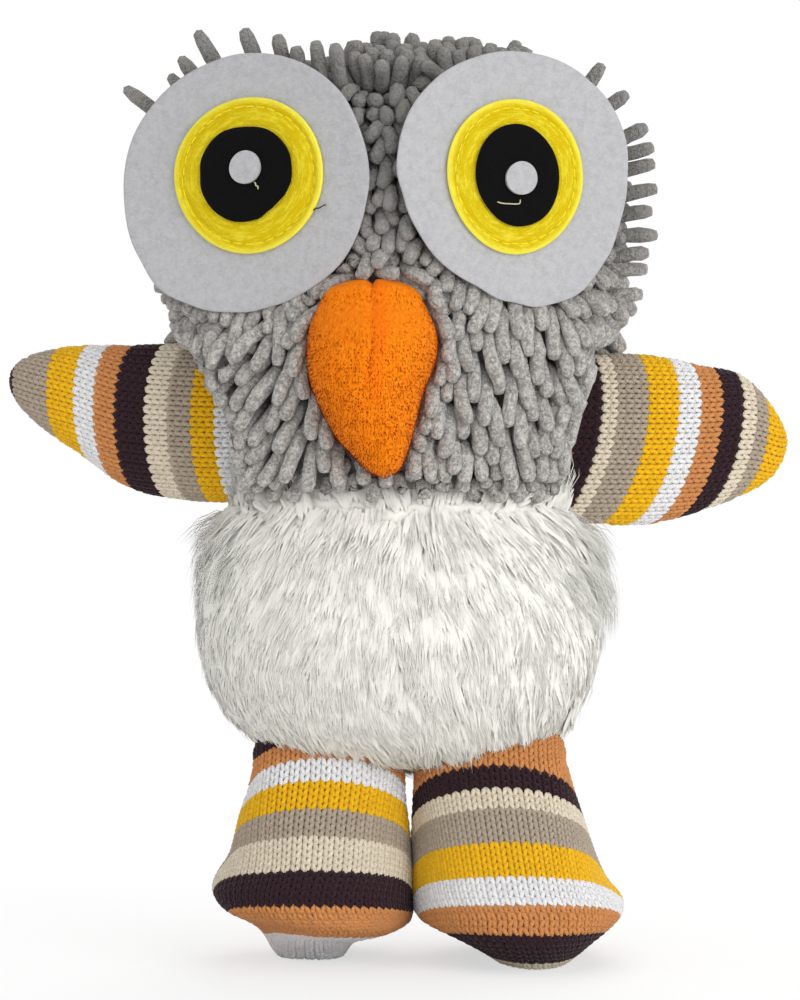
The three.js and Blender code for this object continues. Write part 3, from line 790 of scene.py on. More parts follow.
def felt_finish(name, colour, light, dark):
    """Pressed felt: matted fibres, with paler and darker patches."""
    finish = Finish(name, colour, sheen=0.04)
    finish.tint(finish.spread(finish.noise(420, 5, 0.75), 0.42, 0.66, 0, 0.7), dark)
    finish.tint(finish.spread(finish.noise(900, 5, 0.8, (1, 1, 2.2)), 0.5, 0.72, 0, 0.7), light)
    finish.raised(finish.noise(1300, 5, 0.75), 0.5 * MM, 0.7)
    finish.raised(finish.noise(160, 3, 0.5), 1.2 * MM, 0.35)
    return finish


def yarn_finish(name, colour):
    """Plied cotton yarn: fine fibres along the strand, and a slight change between stitches."""
    finish = Finish(name, colour, roughness=0.85, sheen=0.1)
    speck = finish.shade(0.7)
    finish.tint(finish.spread(finish.attribute("hue"), 0, 1, 0, 0.4), speck)
    finish.tint(finish.spread(finish.noise(2600, 3, 0.7), 0.45, 0.7, 0, 0.45), speck)
    ply = finish.nodes.new("ShaderNodeTexWave")
    ply.bands_direction = "DIAGONAL"
    ply.inputs["Scale"].default_value = 1.3
    ply.inputs["Distortion"].default_value = 1.5
    finish.links.new(finish.nodes.new("ShaderNodeUVMap").outputs["UV"], ply.inputs["Vector"])
    finish.raised(ply.outputs["Fac"], 0.25 * MM, 0.6)
    finish.raised(finish.noise(3000, 3, 0.7), 0.25 * MM, 0.6)
    return finish.material


def cloth_finish(name, colour):
    """Plain backing cloth under the noodles."""
    finish = Finish(name, colour)
    finish.tint(finish.spread(finish.noise(1100, 3), 0.4, 0.6, 0, 0.5), finish.shade(0.8))
    finish.raised(finish.noise(1600, 3), 0.4 * MM, 0.6)
    return finish.material


def plush_finish(name, colour):
    """The beak's short pile: brushed streaks, painted shade on its left half, which faces away from
    the light, and redder by its seam.
    """
    finish = Finish(name, colour, roughness=0.9, sheen=0.03)
    streaks = finish.noise(600, 4, 0.75, (1.7, 1.7, 0.22))
    finish.tint(finish.spread(streaks, 0.45, 0.64, 0, 0.62), linear(236, 114, 0))
    finish.tint(finish.spread(streaks, 0.46, 0.34, 0, 0.6), linear(246, 154, 30))
    streaked = finish.spread(streaks, 0.4, 0.62, 0.25, 1)
    # Painted shade on the beak's left half, which faces away from the light
    deep = finish.math("MULTIPLY", streaked, finish.attribute("left_half"))
    finish.tint(finish.spread(deep, 0, 1, 0, 0.46), linear(222, 106, 2))
    finish.tint(finish.spread(finish.attribute("seam_side"), 0, 1, 0, 0.4), linear(250, 98, 0))
    finish.raised(finish.noise(1500, 4, 0.75, (1, 1, 0.3)), 0.5 * MM, 0.7)
    return finish.material


def thread_finish(name, colour):
    """Sewing thread: smoother than yarn, with a fine twist."""
    finish = Finish(name, colour, roughness=0.55, sheen=0.1)
    finish.tint(finish.spread(finish.noise(3500, 2), 0.45, 0.65, 0, 0.5), finish.shade(0.7))
    finish.raised(finish.noise(3500, 2), 0.15 * MM, 0.6)
    return finish.material


# Head and body
BACKING_RINGS, BACKING_SIDES = 28, 64


def trunk_shell(form, inset):
    """The head's or the body's backing as a closed shell, from its lower to its upper end."""
    turns = np.linspace(0, 1, BACKING_RINGS)
    shares = np.sin(turns * math.pi / 2) ** 1.3 * NEARLY_WHOLE
    if not form["pole"]:
        shares = (1 - shares)[::-1]
    rings = trunk_point(form, shares[:, None], angles_round(BACKING_SIDES)[None], inset)
    if form["pole"]:
        rings[0, :, 2] = form["base"] + SEAM_GAP / 2
    else:
        rings[-1, :, 2] = form["base"] + form["height"] - SEAM_GAP / 2
    return shell(rings)


def make_backings(sizes, colours):
    """The stuffed head and body, as the cloth that carries the noodles and the fur."""
    # The head's backing is darkened to a third of the chenille's grey: painted shade in the gaps
    # between the noodles
    gap_shade_cloth = cloth_finish("head_backing_cloth", tuple(c * 0.32 for c in colours.chenille))
    pale_cloth = fur_finish("body_backing_cloth", tuple(colours.fur))
    head = new_piece("head_backing", *trunk_shell(HEAD, 0.3 * MM), gap_shade_cloth)
    body = new_piece("body_backing", *trunk_shell(BODY, sizes.fur_depth), pale_cloth)
    dress(head, "trunk", "grey_noodle_pile", "head_stuffing")
    dress(body, "trunk", "white_fur", "body_stuffing")


class Disc:
    """Where an eye's felt disc lies: its middle, the way it faces, and its half-sizes."""

    def __init__(self, side, yaw, half_width, half_height):
        low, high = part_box(f"{side}_eye_disc")
        turn = math.radians(yaw)
        self.side = side
        self.right = np.array([math.cos(turn), math.sin(turn), 0])
        self.up = np.array([0, 0, 1.0])
        self.front = np.array([math.sin(turn), -math.cos(turn), 0])
        self.middle = np.array((low + high) / 2)
        self.half_width, self.half_height = half_width, half_height

    def to_world(self, right, up, front):
        """Points from places on the disc and distances in front of its middle."""
        return (
            self.middle
            + np.multiply.outer(right, self.right)
            + np.multiply.outer(up, self.up)
            + np.multiply.outer(front, self.front)
        )

    def to_own(self, points):
        """Points as distances right, up and in front of its middle, and shares of its radius."""
        from_middle = points - self.middle
        x, z = from_middle @ self.right, from_middle @ self.up
        front = from_middle @ self.front
        return x, z, front, np.hypot(x / self.half_width, z / self.half_height)

    def push_back(self, points, margin):
        """Moves the points that are in front of the disc, or too near to its back, behind it."""
        _, _, front, reach = self.to_own(points)
        move = np.where((reach < 1.05) & (front > -margin), front + margin, 0)
        return points - move[:, None] * self.front


EYE_YAW = 20
LEFT_DISC = Disc("left", -EYE_YAW, 39.6 * MM, 39.8 * MM)
RIGHT_DISC = Disc("right", EYE_YAW, 37.6 * MM, 38.6 * MM)
DISCS = (LEFT_DISC, RIGHT_DISC)


def even_roots(form, pitch, rng):
    """Shares and angles of rows of roots that lie about a pitch apart on a trunk form."""
    fine = np.linspace(0.004, 0.996, 600)
    height = travelled(trunk_point(form, fine, 0.4))
    rows = np.arange(pitch * 0.4, height[-1], pitch * 0.84)
    turn = np.linspace(0, FULL_TURN, 400)
    shares, angles = [], []
    for row, share in enumerate(np.interp(rows, height, fine)):
        length = travelled(trunk_point(form, np.full(len(turn), share), turn))
        count = max(int(length[-1] / pitch), 1)
        goals = (np.arange(count) + 0.3 * (row % 2) + rng.uniform(-0.16, 0.16, count)) / count
        angles.append(np.interp(goals % 1, length / length[-1], turn))
        shares.append(np.full(count, share) + rng.uniform(-0.006, 0.006, count))
    return np.clip(np.concatenate(shares), 0.003, 0.997), np.concatenate(angles)


def close_pairs(points, reach):
    """Pairs of the points that are nearer to each other than a reach."""
    cell = np.floor((points - points.min(0)) / reach).astype(np.int64) + 1
    size = cell.max(0) + 2
    key = (cell[:, 0] * size[1] + cell[:, 1]) * size[2] + cell[:, 2]
    order = np.argsort(key, kind="stable")
    keys = key[order]
    steps = [(x, y, z) for x in (-1, 0, 1) for y in (-1, 0, 1) for z in (-1, 0, 1)]
    first, second = [], []
    for x, y, z in steps:
        shift = (x * size[1] + y) * size[2] + z
        if shift < 0:
            continue
        low = np.searchsorted(keys, keys + shift, "left")
        count = np.searchsorted(keys, keys + shift, "right") - low
        i = np.repeat(np.arange(len(keys)), count)
        within = np.arange(count.sum()) - np.repeat(np.cumsum(count) - count, count)
        j = within + np.repeat(low, count)
        keep = i < j if shift == 0 else np.ones(len(i), bool)
        first.append(order[i[keep]])
        second.append(order[j[keep]])
    a, b = np.concatenate(first), np.concatenate(second)
    near = np.linalg.norm(points[a] - points[b], axis=1) < reach
    return a[near], b[near]


def noise_at(points, scale, pattern):
    """A smooth direction at each point, of a length up to about one, in a numbered pattern."""
    noise.seed_set(1)
    shift = Vector((pattern * 7.1, pattern * 3.3, pattern * 5.7))
    return np.array([noise.noise_vector(Vector(p) * scale + shift) for p in points])


def comb_direction(points, normals, rng):
    """Where each noodle leans: up at the head's top, outwards at its sides, down at its face."""
    x, height = trunk_place(HEAD, points)
    back = smooth_step(points[:, 1], TRUNK_MIDDLE.y, TRUNK_MIDDLE.y + 25 * MM)
    side = smooth_step(np.abs(x), 0.6, 0.97)
    top = smooth_step(height, 0.84 + 0.1 * back, 0.96 + 0.08 * back)
    upper = smooth_step(height, 0.4, 0.6)
    droop = (1 - top) * (1.2 - side * (0.35 + 0.75 * upper))
    fan = -0.95 * smooth_step(-x, 0.3, 0.62) * (1 - upper)
    lifted = 0.3 + 0.75 * side * (0.35 + 0.65 * upper) + 0.9 * top
    lifted += 0.7 * back * smooth_step(height, 0.5, 0.9)
    direction = normals * lifted[:, None]
    direction[:, 2] += 0.3 * top + 0.16 * side * upper - droop
    direction[:, 0] += np.where(points[:, 1] < TRUNK_MIDDLE.y, fan, 0)
    wild = 0.2 + 0.25 * np.maximum(top, side * upper)
    direction += wild[:, None] * (noise_at(points, 42, 1) + rng.normal(0, 0.4, points.shape))
    return unit(direction)


# Where the pile ends over a wing's root: height, and distance from the trunk's middle, in metres
LEFT_WING_OPENING = np.array([
    [0.14, 0.0465],
    [0.165, 0.05],
    [0.174, 0.054],
    [0.184, 0.061],
    [0.194, 0.067],
    [0.2, 0.0715],
    [0.208, 0.08],
])
RIGHT_WING_OPENING = np.array([
    [0.14, 0.048],
    [0.165, 0.0515],
    [0.174, 0.0555],
    [0.18, 0.0575],
    [0.19, 0.0585],
    [0.194, 0.066],
    [0.2, 0.071],
    [0.21, 0.078],
])
# Tips of the noodles that stick out past the eyes' discs: across and up from the floor, in mm
STRAY_TIPS = np.array([
    [-62.5, 288], [-47.5, 287.5], [-37, 285], [-31.5, 282.5], [-25.2, 282.5], [-19.3, 281.5],
    [-67.5, 279.5], [-71.5, 275], [-85.5, 271], [-76.5, 208.5], [-72, 203],
    [80.3, 247], [80.8, 239], [79.3, 232], [80.8, 224.5], [78.3, 214], [77, 258], [71.4, 268.5],
    [63, 277], [76, 206], [79.5, 252], [78, 219],
])


def open_for_wings(points, slack=0.0):
    """Moves points in towards the middle, so that the pile leaves both wings free."""
    x = points[:, 0] - TRUNK_MIDDLE.x
    for side, opening in ((-1, LEFT_WING_OPENING), (1, RIGHT_WING_OPENING)):
        reach = np.interp(points[:, 2], opening[:, 0], opening[:, 1]) - slack
        free = (points[:, 2] > opening[-1, 0]) | (points[:, 1] > TRUNK_MIDDLE.y + 9 * MM)
        reach = np.where(free, 1.0, reach)
        x = np.where(side * x > reach, side * reach, x)
    points[:, 0] = TRUNK_MIDDLE.x + x
    return points


def crowded_roots(pitch, rng):
    """Roots of the noodles and their normals. On the face's strip, the brow and the sides,
    where the pile is thickest, a second root stands between every two."""
    share, angle = even_roots(HEAD, pitch, rng)
    root, normal = trunk_point(HEAD, share, angle), trunk_normal(HEAD, share, angle)
    _, height = trunk_place(HEAD, root)
    across = np.abs(root[:, 0] - TRUNK_MIDDLE.x)
    face = (root[:, 1] < -10 * MM) & (height < 0.97)
    face &= ((height > 0.82) & (across < 34 * MM)) | ((height > 0.45) & (across < 22 * MM))
    crowded = face | ((across > 44 * MM) & (height > 0.4) & (height < 0.95))
    share, shifted = share[crowded], angle[crowded] + pitch / 2 / HEAD["half_width"]
    root = np.concatenate([root, trunk_point(HEAD, share, shifted)])
    normal = np.concatenate([normal, trunk_normal(HEAD, share, shifted)])
    return root, normal


def behind_beak(points):
    """Which points the beak hides."""
    own = BEAK.to_own(points)
    out = own[:, 0]
    middle, wide, _, _ = BEAK.section(np.clip(out / BEAK.length, 0, 1))
    hidden = (out > -4 * MM) & (out < 0.8 * BEAK.length) & (points[:, 1] < 0)
    return hidden & (np.abs(own[:, 2] - middle) < wide * 0.62)


def under_discs(root):
    """Which roots the discs cover, the way out from under them, and which are too deep there."""
    under, deep = np.zeros(len(root), bool), np.zeros(len(root), bool)
    outwards = np.zeros_like(root)
    hang = 1 - smooth_step(np.abs(root[:, 0] - BEAK.place[0]), 12 * MM, 24 * MM)
    for disc in DISCS:
        x, z, front, reach = disc.to_own(root)
        covered = (reach < 0.98) & (root[:, 1] < TRUNK_MIDDLE.y)
        under |= covered
        deep |= covered & (reach < 0.72) & (front > -8 * MM)
        radial = np.multiply.outer(x, disc.right) + np.multiply.outer(z, disc.up)
        radial = unit(radial) * (1 - hang)[:, None] - np.multiply.outer(hang, [0, 0, 1.3])
        outwards = np.where(covered[:, None], radial, outwards)
    return under, outwards, deep


def turned(lean, towards, share):
    """Directions, turned towards others by a share."""
    return unit(lean * (1 - share)[:, None] + unit(towards) * share[:, None])


def stray_noodles(head_tree):
    """Roots, directions and lengths of the noodles whose tips stick out past the discs."""
    roots, leans, lengths = [], [], []
    for across, up in STRAY_TIPS * MM:
        disc = LEFT_DISC if across < 0 else RIGHT_DISC
        back = disc.middle[1] + (across - disc.middle[0]) * disc.right[1] / disc.right[0] + 7 * MM
        tip = Vector((across, min(back, TRUNK_MIDDLE.y), up))
        below = tip - Vector((0, 0, 9 * MM if up > 0.27 else 0))
        place, _, _, _ = head_tree.find_nearest(below)
        place += (place - tip).normalized() * max(14 * MM - (tip - place).length, 0)
        roots.append(place)
        leans.append((tip - place).normalized())
        lengths.append((tip - place).length + 0.5 * MM)
    return roots, leans, lengths


def noodle_roots(sizes, head_tree, rng):
    """Where each noodle starts, its normal there, the way it leans, its length, and whether it
    is one of the strays."""
    root, normal = crowded_roots(sizes.noodle_pitch, rng)
    under, outwards, deep = under_discs(root)
    free = np.linalg.norm(open_for_wings(root.copy()) - root, axis=1) < 3 * MM
    keep = free & ~deep & ~behind_beak(root)
    root, normal, under, outwards = root[keep], normal[keep], under[keep], outwards[keep]
    lean = comb_direction(root, normal, rng)
    lean = np.where(under[:, None], unit(outwards + 0.1 * normal + 0.3 * lean), lean)
    _, height = trunk_place(HEAD, root)
    across = np.abs(root[:, 0] - TRUNK_MIDDLE.x)
    length = sizes.noodle_length * rng.uniform(0.86, 1.1, len(root))
    length *= 1 - 0.28 * smooth_step(height, 0.84, 0.97)
    # The upper sides: shorter, and combed backwards where no disc lies over them
    at_side = smooth_step(across, 32 * MM, 46 * MM) * smooth_step(height, 0.42, 0.55)
    length *= 1 - 0.4 * at_side
    combed = np.array([0, 1.0, -0.35]) + 0.55 * normal + rng.normal(0, 0.2, root.shape)
    swept = at_side * (~under) * smooth_step(root[:, 1], -30 * MM, -10 * MM)
    lean = turned(lean, combed, swept)
    # The left brow: shorter
    at_left = smooth_step(-root[:, 0], 12 * MM, 20 * MM)
    length *= 1 - 0.35 * at_left * smooth_step(height, 0.8, 0.9)
    # The strip between the discs: shorter, and combed down
    face = (root[:, 1] < -10 * MM) * smooth_step(height, 0.4, 0.48)
    face = face * (1 - smooth_step(height, 0.9, 0.97))
    face *= 1 - smooth_step(across, 16 * MM, 34 * MM)
    length *= 1 - 0.3 * face
    down = np.array([0, 0, -1.0]) + 0.2 * normal + rng.normal(0, 0.2, root.shape)
    lean = turned(lean, down, face)
    stray_root, stray_lean, stray_length = stray_noodles(head_tree)
    stray = np.arange(len(root) + len(stray_root)) >= len(root)
    return (
        np.concatenate([root, stray_root]),
        np.concatenate([normal, stray_lean]),
        np.concatenate([lean, stray_lean]),
        np.concatenate([length, stray_length]),
        stray,
    )


def push_apart(points, owner, gap):
    """Moves the points of different noodles away from each other where they are too near."""
    a, b = close_pairs(points, gap)
    other = owner[a] != owner[b]
    a, b = a[other], b[other]
    apart = points[b] - points[a]
    distance = np.linalg.norm(apart, axis=1, keepdims=True)
    push = apart / np.maximum(distance, 1e-6) * (gap - distance) * 0.4
    np.add.at(points, a, -push)
    np.add.at(points, b, push)


def lift_off(points, tree, standoff):
    """Raises the points that are nearer to a surface than their standoff."""
    for i, point in enumerate(points):
        place, outward, _, _ = tree.find_nearest(point)
        above = (Vector(point) - place).dot(outward)
        if above < standoff[i]:
            points[i] += np.array(outward) * (standoff[i] - above)


# Points of a noodle's centre line, and rounds in which the noodles are pushed apart
NOODLE_STEPS, SETTLING_ROUNDS = 7, 45


def noodle_paths(sizes, head_tree):
    """The noodles' centre lines: combed, pushed apart, and kept out of eyes, beak and wings."""
    rng = np.random.default_rng(11)
    radius = sizes.noodle_thickness / 2
    root, normal, lean, length, stray = noodle_roots(sizes, head_tree, rng)
    count, steps = len(root), NOODLE_STEPS
    lowest = NECK + rng.uniform(-3 * MM, 1.5 * MM, count)
    room = (root[:, 2] - lowest) / np.maximum(-lean[:, 2], 0.25)
    length = np.where(stray, length, np.clip(room, 9 * MM, length))
    segment = (length / (steps - 1))[:, None]
    paths = [root - normal * 0.5 * MM]
    for k in range(1, steps):
        bend = smooth_step(k / (steps - 1), 0, 0.5)
        paths.append(paths[-1] + unit(normal * (1 - bend) * 0.9 + lean * (bend + 0.25)) * segment)
    paths = np.stack(paths, axis=1)
    rest = paths.copy()
    owner = np.repeat(np.arange(count), steps - 1)
    hold = np.where(stray, 0.3, 0.08)[:, None, None]
    slack = np.repeat(rng.uniform(-1.0 * MM, 4 * MM, count), steps - 1)
    standoff = np.tile(np.linspace(0.9, 1.0, steps - 1), count) * radius
    standoff *= np.repeat(~stray, steps - 1)
    floor = np.repeat(lowest, steps - 1)
    for _ in range(SETTLING_ROUNDS):
        paths[:, 1:] += (rest[:, 1:] - paths[:, 1:]) * hold
        points = paths[:, 1:].reshape(-1, 3)
        push_apart(points, owner, radius * 1.86)
        for limb in (BEAK, LEFT_WING, RIGHT_WING):
            points = limb.push_out(points, radius)
        lift_off(points, head_tree, standoff)
        for disc in DISCS:
            points = disc.push_back(points, radius + 1 * MM)
        points = open_for_wings(points, slack)
        points[:, 2] = np.maximum(points[:, 2], floor)
        paths[:, 1:] = points.reshape(count, steps - 1, 3)
        for k in range(1, steps):
            paths[:, k] = paths[:, k - 1] + unit(paths[:, k] - paths[:, k - 1]) * segment
    points = paths.reshape(-1, 3)
    for disc in DISCS:
        points = disc.push_back(points, radius + 0.8 * MM)
    return points.reshape(paths.shape)


NOODLE_SIDES = 7
# The rings of a noodle: where they lie along it, between its tips, and how thick it is there
NOODLE_PLACES = (0, 0.03, 0.25, 0.5, 0.72, 0.88, 0.965, 1)
NOODLE_SWELL = np.array([0.85, 1.0, 0.98, 1.02, 0.96, 0.66])


def make_noodles(sizes, colours):
    """The head's pile of chenille noodles, in a front and a back piece."""
    head_tree = tree_of(bpy.data.objects["head_backing"])
    paths = noodle_paths(sizes, head_tree)
    rng = np.random.default_rng(12)
    lines = along_paths(paths, NOODLE_PLACES)
    uneven = rng.uniform(0.9, 1.08, (len(lines), len(NOODLE_SWELL)))
    radii = sizes.noodle_thickness / 2 * NOODLE_SWELL * uneven
    chenille = pile_finish("chenille", tuple(colours.chenille))
    front = lines[:, 0, 1] < TRUNK_MIDDLE.y
    for name, chosen in (("head_front", front), ("head_back", ~front)):
        points, faces, each = tubes(lines[chosen], radii[chosen], NOODLE_SIDES)
        piece = new_piece(f"{name}_noodles", points, faces, chenille)
        count = int(chosen.sum())
        set_attribute(piece, "hue", np.repeat(rng.uniform(0, 1, count), each))
        # Each ring's share along its noodle, which the chenille uses for painted shade near the
        # root
        along = np.concatenate([np.repeat(NOODLE_PLACES[1:-1], NOODLE_SIDES), [0, 1]])
        set_attribute(piece, "along", np.tile(along, count))
        # Painted shade: how high each point lies, for the darker head top that the chenille paints
        set_attribute(piece, "upper", smooth_step(points[:, 2], 0.195, 0.235))
        dress(piece, "trunk", "grey_noodle_pile", f"{name}_panel")


def fur_direction(points, normals, upwards):
    """Where the fur is combed: down and outwards, and up over the neck seam where it's upwards."""
    x, height = trunk_place(BODY, points)
    comb = np.zeros_like(points)
    comb[:, 0] = np.where(x < 0, 0.75, 1.3) * x * smooth_step(height, 0.1, 0.9)
    comb[:, 0] += 0.4 * smooth_step(0.5 - height, 0, 0.35)
    comb[:, 2] = np.where(upwards, 0.9, -1.0)
    comb += 0.3 * noise_at(points, 26, 2) + 0.3 * noise_at(points, 80, 3)
    comb -= np.sum(comb * normals, axis=1, keepdims=True) * normals
    return unit(comb)


def random_roots(form, count, rng, low=0.0, high=FULL_TURN):
    """Shares and angles that spread evenly over a trunk form's surface between two angles."""
    shares, angles = rng.uniform(0.002, 0.998, count * 4), rng.uniform(low, high, count * 4)
    here = trunk_point(form, shares, angles)
    up = trunk_point(form, np.minimum(shares + NUDGE, 1), angles) - here
    around = trunk_point(form, shares, angles + NUDGE) - here
    area = np.linalg.norm(np.cross(up, around), axis=1)
    area = np.minimum(area, np.quantile(area, 0.995))
    chosen = rng.choice(len(shares), count, replace=False, p=area / area.sum())
    return shares[chosen], angles[chosen]


def combed_paths(root, normal, comb, length, lift, hug, tree):
    """Paths that rise from the backing and then lie along the comb, at their lift over it."""
    paths = []
    for t in (0, 0.3, 0.66, 1):
        rise = 1 - (1 - t) ** 2 if t else -0.15
        paths.append(root + normal * (rise * lift)[:, None] + comb * (t**1.4 * length)[:, None])
    for k, rise in ((2, 0.9), (3, 0.85)):
        for i in np.nonzero(hug > 0.01)[0]:
            place, outward, _, _ = tree.find_nearest(paths[k][i])
            held = np.array(place + outward * (rise * lift[i]))
            paths[k][i] += (held - paths[k][i]) * hug[i]
    return np.stack(paths, axis=1)


TUFT_COUNT = 2800
LOCK_COUNT = 9000
LOCK_RADIUS = 0.75 * MM
LOCK_SIDES, STRAND_SIDES = 4, 3
# The quarters of the body and the angles between which each of them lies
FUR_QUARTERS = {
    "body_front_left": (math.pi, 1.5 * math.pi),
    "body_front_right": (1.5 * math.pi, 2 * math.pi),
    "body_back_right": (0, 0.5 * math.pi),
    "body_back_left": (0.5 * math.pi, math.pi),
}


class Tufts:
    """The tufts that the fur's strands belong to: where their tips draw together, and how each
    differs from the rest. The tufts of the shoulders stand out, and some at the neck lie up."""

    def __init__(self, sizes, rng):
        share, angle = random_roots(BODY, TUFT_COUNT, rng)
        self.tips = trunk_point(BODY, share, angle, sizes.fur_depth)
        self.tree = kd_tree(self.tips)
        self.tilt = rng.normal(0, 0.15, (TUFT_COUNT, 3))
        self.length = rng.uniform(0.85, 1.12, TUFT_COUNT)
        self.rise = np.exp(rng.normal(0, 0.12, TUFT_COUNT))
        self.hue = rng.uniform(0, 1, TUFT_COUNT)
        self.upwards = rng.uniform(0, 1, TUFT_COUNT) < smooth_step(share, 0.88, 0.99)
        from_middle = self.tips[:, 0] - TRUNK_MIDDLE.x
        above = np.where(from_middle < 0, 126, 112) * MM
        shoulder = (np.abs(from_middle) > 48 * MM) & (self.tips[:, 2] > above)
        shoulder &= rng.uniform(0, 1, TUFT_COUNT) < 0.4
        self.rise[shoulder] *= 2.2
        self.length[shoulder] *= 1.3

    def nearest(self, points):
        """The number of the tuft that each point belongs to."""
        return np.array([self.tree.find(point)[1] for point in points])


def fur_tubes(layer, angles, sizes, tufts, tree, rng):
    """The locks or the strands of a quarter: their points and faces, the points of each, the
    normal of the backing below each, and its hue."""
    locks = layer == "locks"
    count = LOCK_COUNT if locks else sizes.fur_strands
    share, angle = random_roots(BODY, count, rng, *angles)
    root = trunk_point(BODY, share, angle, sizes.fur_depth)
    normal = trunk_normal(BODY, share, angle)
    tuft = tufts.nearest(root)
    comb = fur_direction(root, normal, tufts.upwards[tuft]) + tufts.tilt[tuft]
    comb += rng.normal(0, 0.07, root.shape)
    length = sizes.fur_length * (0.92 if locks else 1.0)
    length = length * tufts.length[tuft] * rng.uniform(0.8, 1.1, count)
    # Shorter at the neck and round the feet, and longer down the sides, most on the right
    length *= 1 - 0.3 * smooth_step(share, 0.9, 1.0) - 0.35 * smooth_step(share, 0.25, 0.08)
    across, _ = trunk_place(BODY, root)
    longer = np.where(across < 0, 0.35, 0.6) * np.clip(across * 1.6, -1, 1)
    length *= 1 + longer * smooth_step(0.5 - share, 0, 0.25)
    hug = 1 - smooth_step(0.2 - share, 0, 0.14)
    hug = hug * (1 - smooth_step(share, 0.8, 0.92)) * 0.7
    if locks:
        lift = sizes.fur_depth * rng.uniform(0.3, 0.5, count)
        paths = combed_paths(root, normal, comb, length, lift, hug, tree)
        radii = LOCK_RADIUS * np.array([1.0, 0.8]) * rng.uniform(0.7, 1.2, (count, 1))
        points, faces, each = tubes(paths, radii, LOCK_SIDES)
    else:
        lift = sizes.fur_depth * rng.uniform(0.48, 0.68, count) * tufts.rise[tuft]
        lift *= 1 + 0.25 * smooth_step(share, 0.86, 0.96)
        wild = rng.uniform(0, 1, count) < 0.05
        lift = np.where(wild, lift * 1.25, lift)
        paths = combed_paths(root, normal, comb, length, lift, hug, tree)
        drawn = np.linspace(0, 1, 4)[None, :, None] ** 1.3
        paths += (tufts.tips[tuft] - root)[:, None] * 0.5 * drawn
        radii = sizes.fur_thickness / 2 * np.array([1.0, 0.85])
        radii = radii * rng.uniform(0.8, 1.2, (count, 1))
        points, faces, each = tubes(paths, radii, STRAND_SIDES)
    return points, faces, each, normal, 0.5 * tufts.hue[tuft] + 0.5 * rng.uniform(0, 1, count)


def make_fur(sizes, colours):
    """The body's combed fur: soft locks on the backing, and fine strands over them, in tufts
    whose tips draw together."""
    fur = fur_finish("fur", tuple(colours.fur))
    rng = np.random.default_rng(21)
    tufts = Tufts(sizes, rng)
    tree = tree_of(bpy.data.objects["body_backing"])
    for quarter, angles in FUR_QUARTERS.items():
        panel = "body_front_panel" if "front" in quarter else "body_back_panel"
        for layer in ("locks", "fur"):
            points, faces, each, normal, hue = fur_tubes(layer, angles, sizes, tufts, tree, rng)
            piece = new_piece(f"{quarter}_{layer}", points, faces, fur)
            set_attribute(piece, "hue", np.repeat(hue, each))
            soften_shading(piece, np.repeat(normal, each, axis=0), 0.06)
            dress(piece, "trunk", "white_fur", panel)


def soften_shading(piece, outward, own_share):
    """Shades each strand mostly as the surface that it lies on, as soft fur looks."""
    own = read_array(piece.data.vertices, "normal", 3)
    mixed = unit(outward + own_share * own)
    piece.data.normals_split_custom_set_from_vertices(mixed.astype(np.float32))


# Limbs
LIMB_RINGS, ROOT_RINGS, LIMB_SIDES = 26, 6, 40
CLOTH_FRAMES = 20
# What stays free below a stuffed cover, for the stitches of its sole
SOLE_DEPTH = 0.9 * MM


def limb_shell(limb, inset):
    """The closed shell of a limb, from its round root to its tip."""
    shares = np.sin(np.linspace(0, 1, LIMB_RINGS) * math.pi / 2) * NEARLY_WHOLE
    shares = np.concatenate([np.linspace(limb.root_share, 0, ROOT_RINGS)[:-1], shares])
    return shell(limb.point(shares[:, None], angles_round(LIMB_SIDES)[None], inset))


def stuff(piece, voxel, pressure, cap):
    """Swells a cover as its filling does, by a cloth simulation, and applies the result. No
    point moves by more than the cap."""
    apply_modifier(piece, "REMESH", mode="VOXEL", voxel_size=voxel, use_smooth_shade=True)
    start = read_points(piece.data)
    cloth = piece.modifiers.new("cloth", "CLOTH")
    cloth.settings.use_pressure = True
    cloth.settings.uniform_pressure_force = pressure
    cloth.settings.effector_weights.gravity = 0
    cloth.settings.quality = 5
    scene = bpy.context.scene
    for step in range(1, CLOTH_FRAMES + 1):
        scene.frame_set(step)
    swollen = piece.evaluated_get(bpy.context.evaluated_depsgraph_get())
    move = read_points(swollen.to_mesh()) - start
    swollen.to_mesh_clear()
    piece.modifiers.remove(cloth)
    scene.frame_set(1)
    far = np.linalg.norm(move, axis=1, keepdims=True)
    move *= np.minimum(far, cap) / np.maximum(far, 1e-9)
    points = start + move
    points[:, 2] = np.maximum(points[:, 2], SOLE_DEPTH)
    move_points(piece, points)
    apply_modifier(piece, "SUBSURF", levels=1, render_levels=1)


def stripe_at(stripes, share):
    """The yarn's number in YARNS at each share of a limb."""
    starts = np.array(list(stripes))
    numbers = np.array([YARNS.index(yarn) for yarn in stripes.values()])
    found = np.clip(np.searchsorted(starts, share, side="right") - 1, 0, len(starts) - 1)
    return numbers[found]


# Shares along a panel and angles across it at which it is measured
PANEL_ROWS, PANEL_COLUMNS = 140, 49


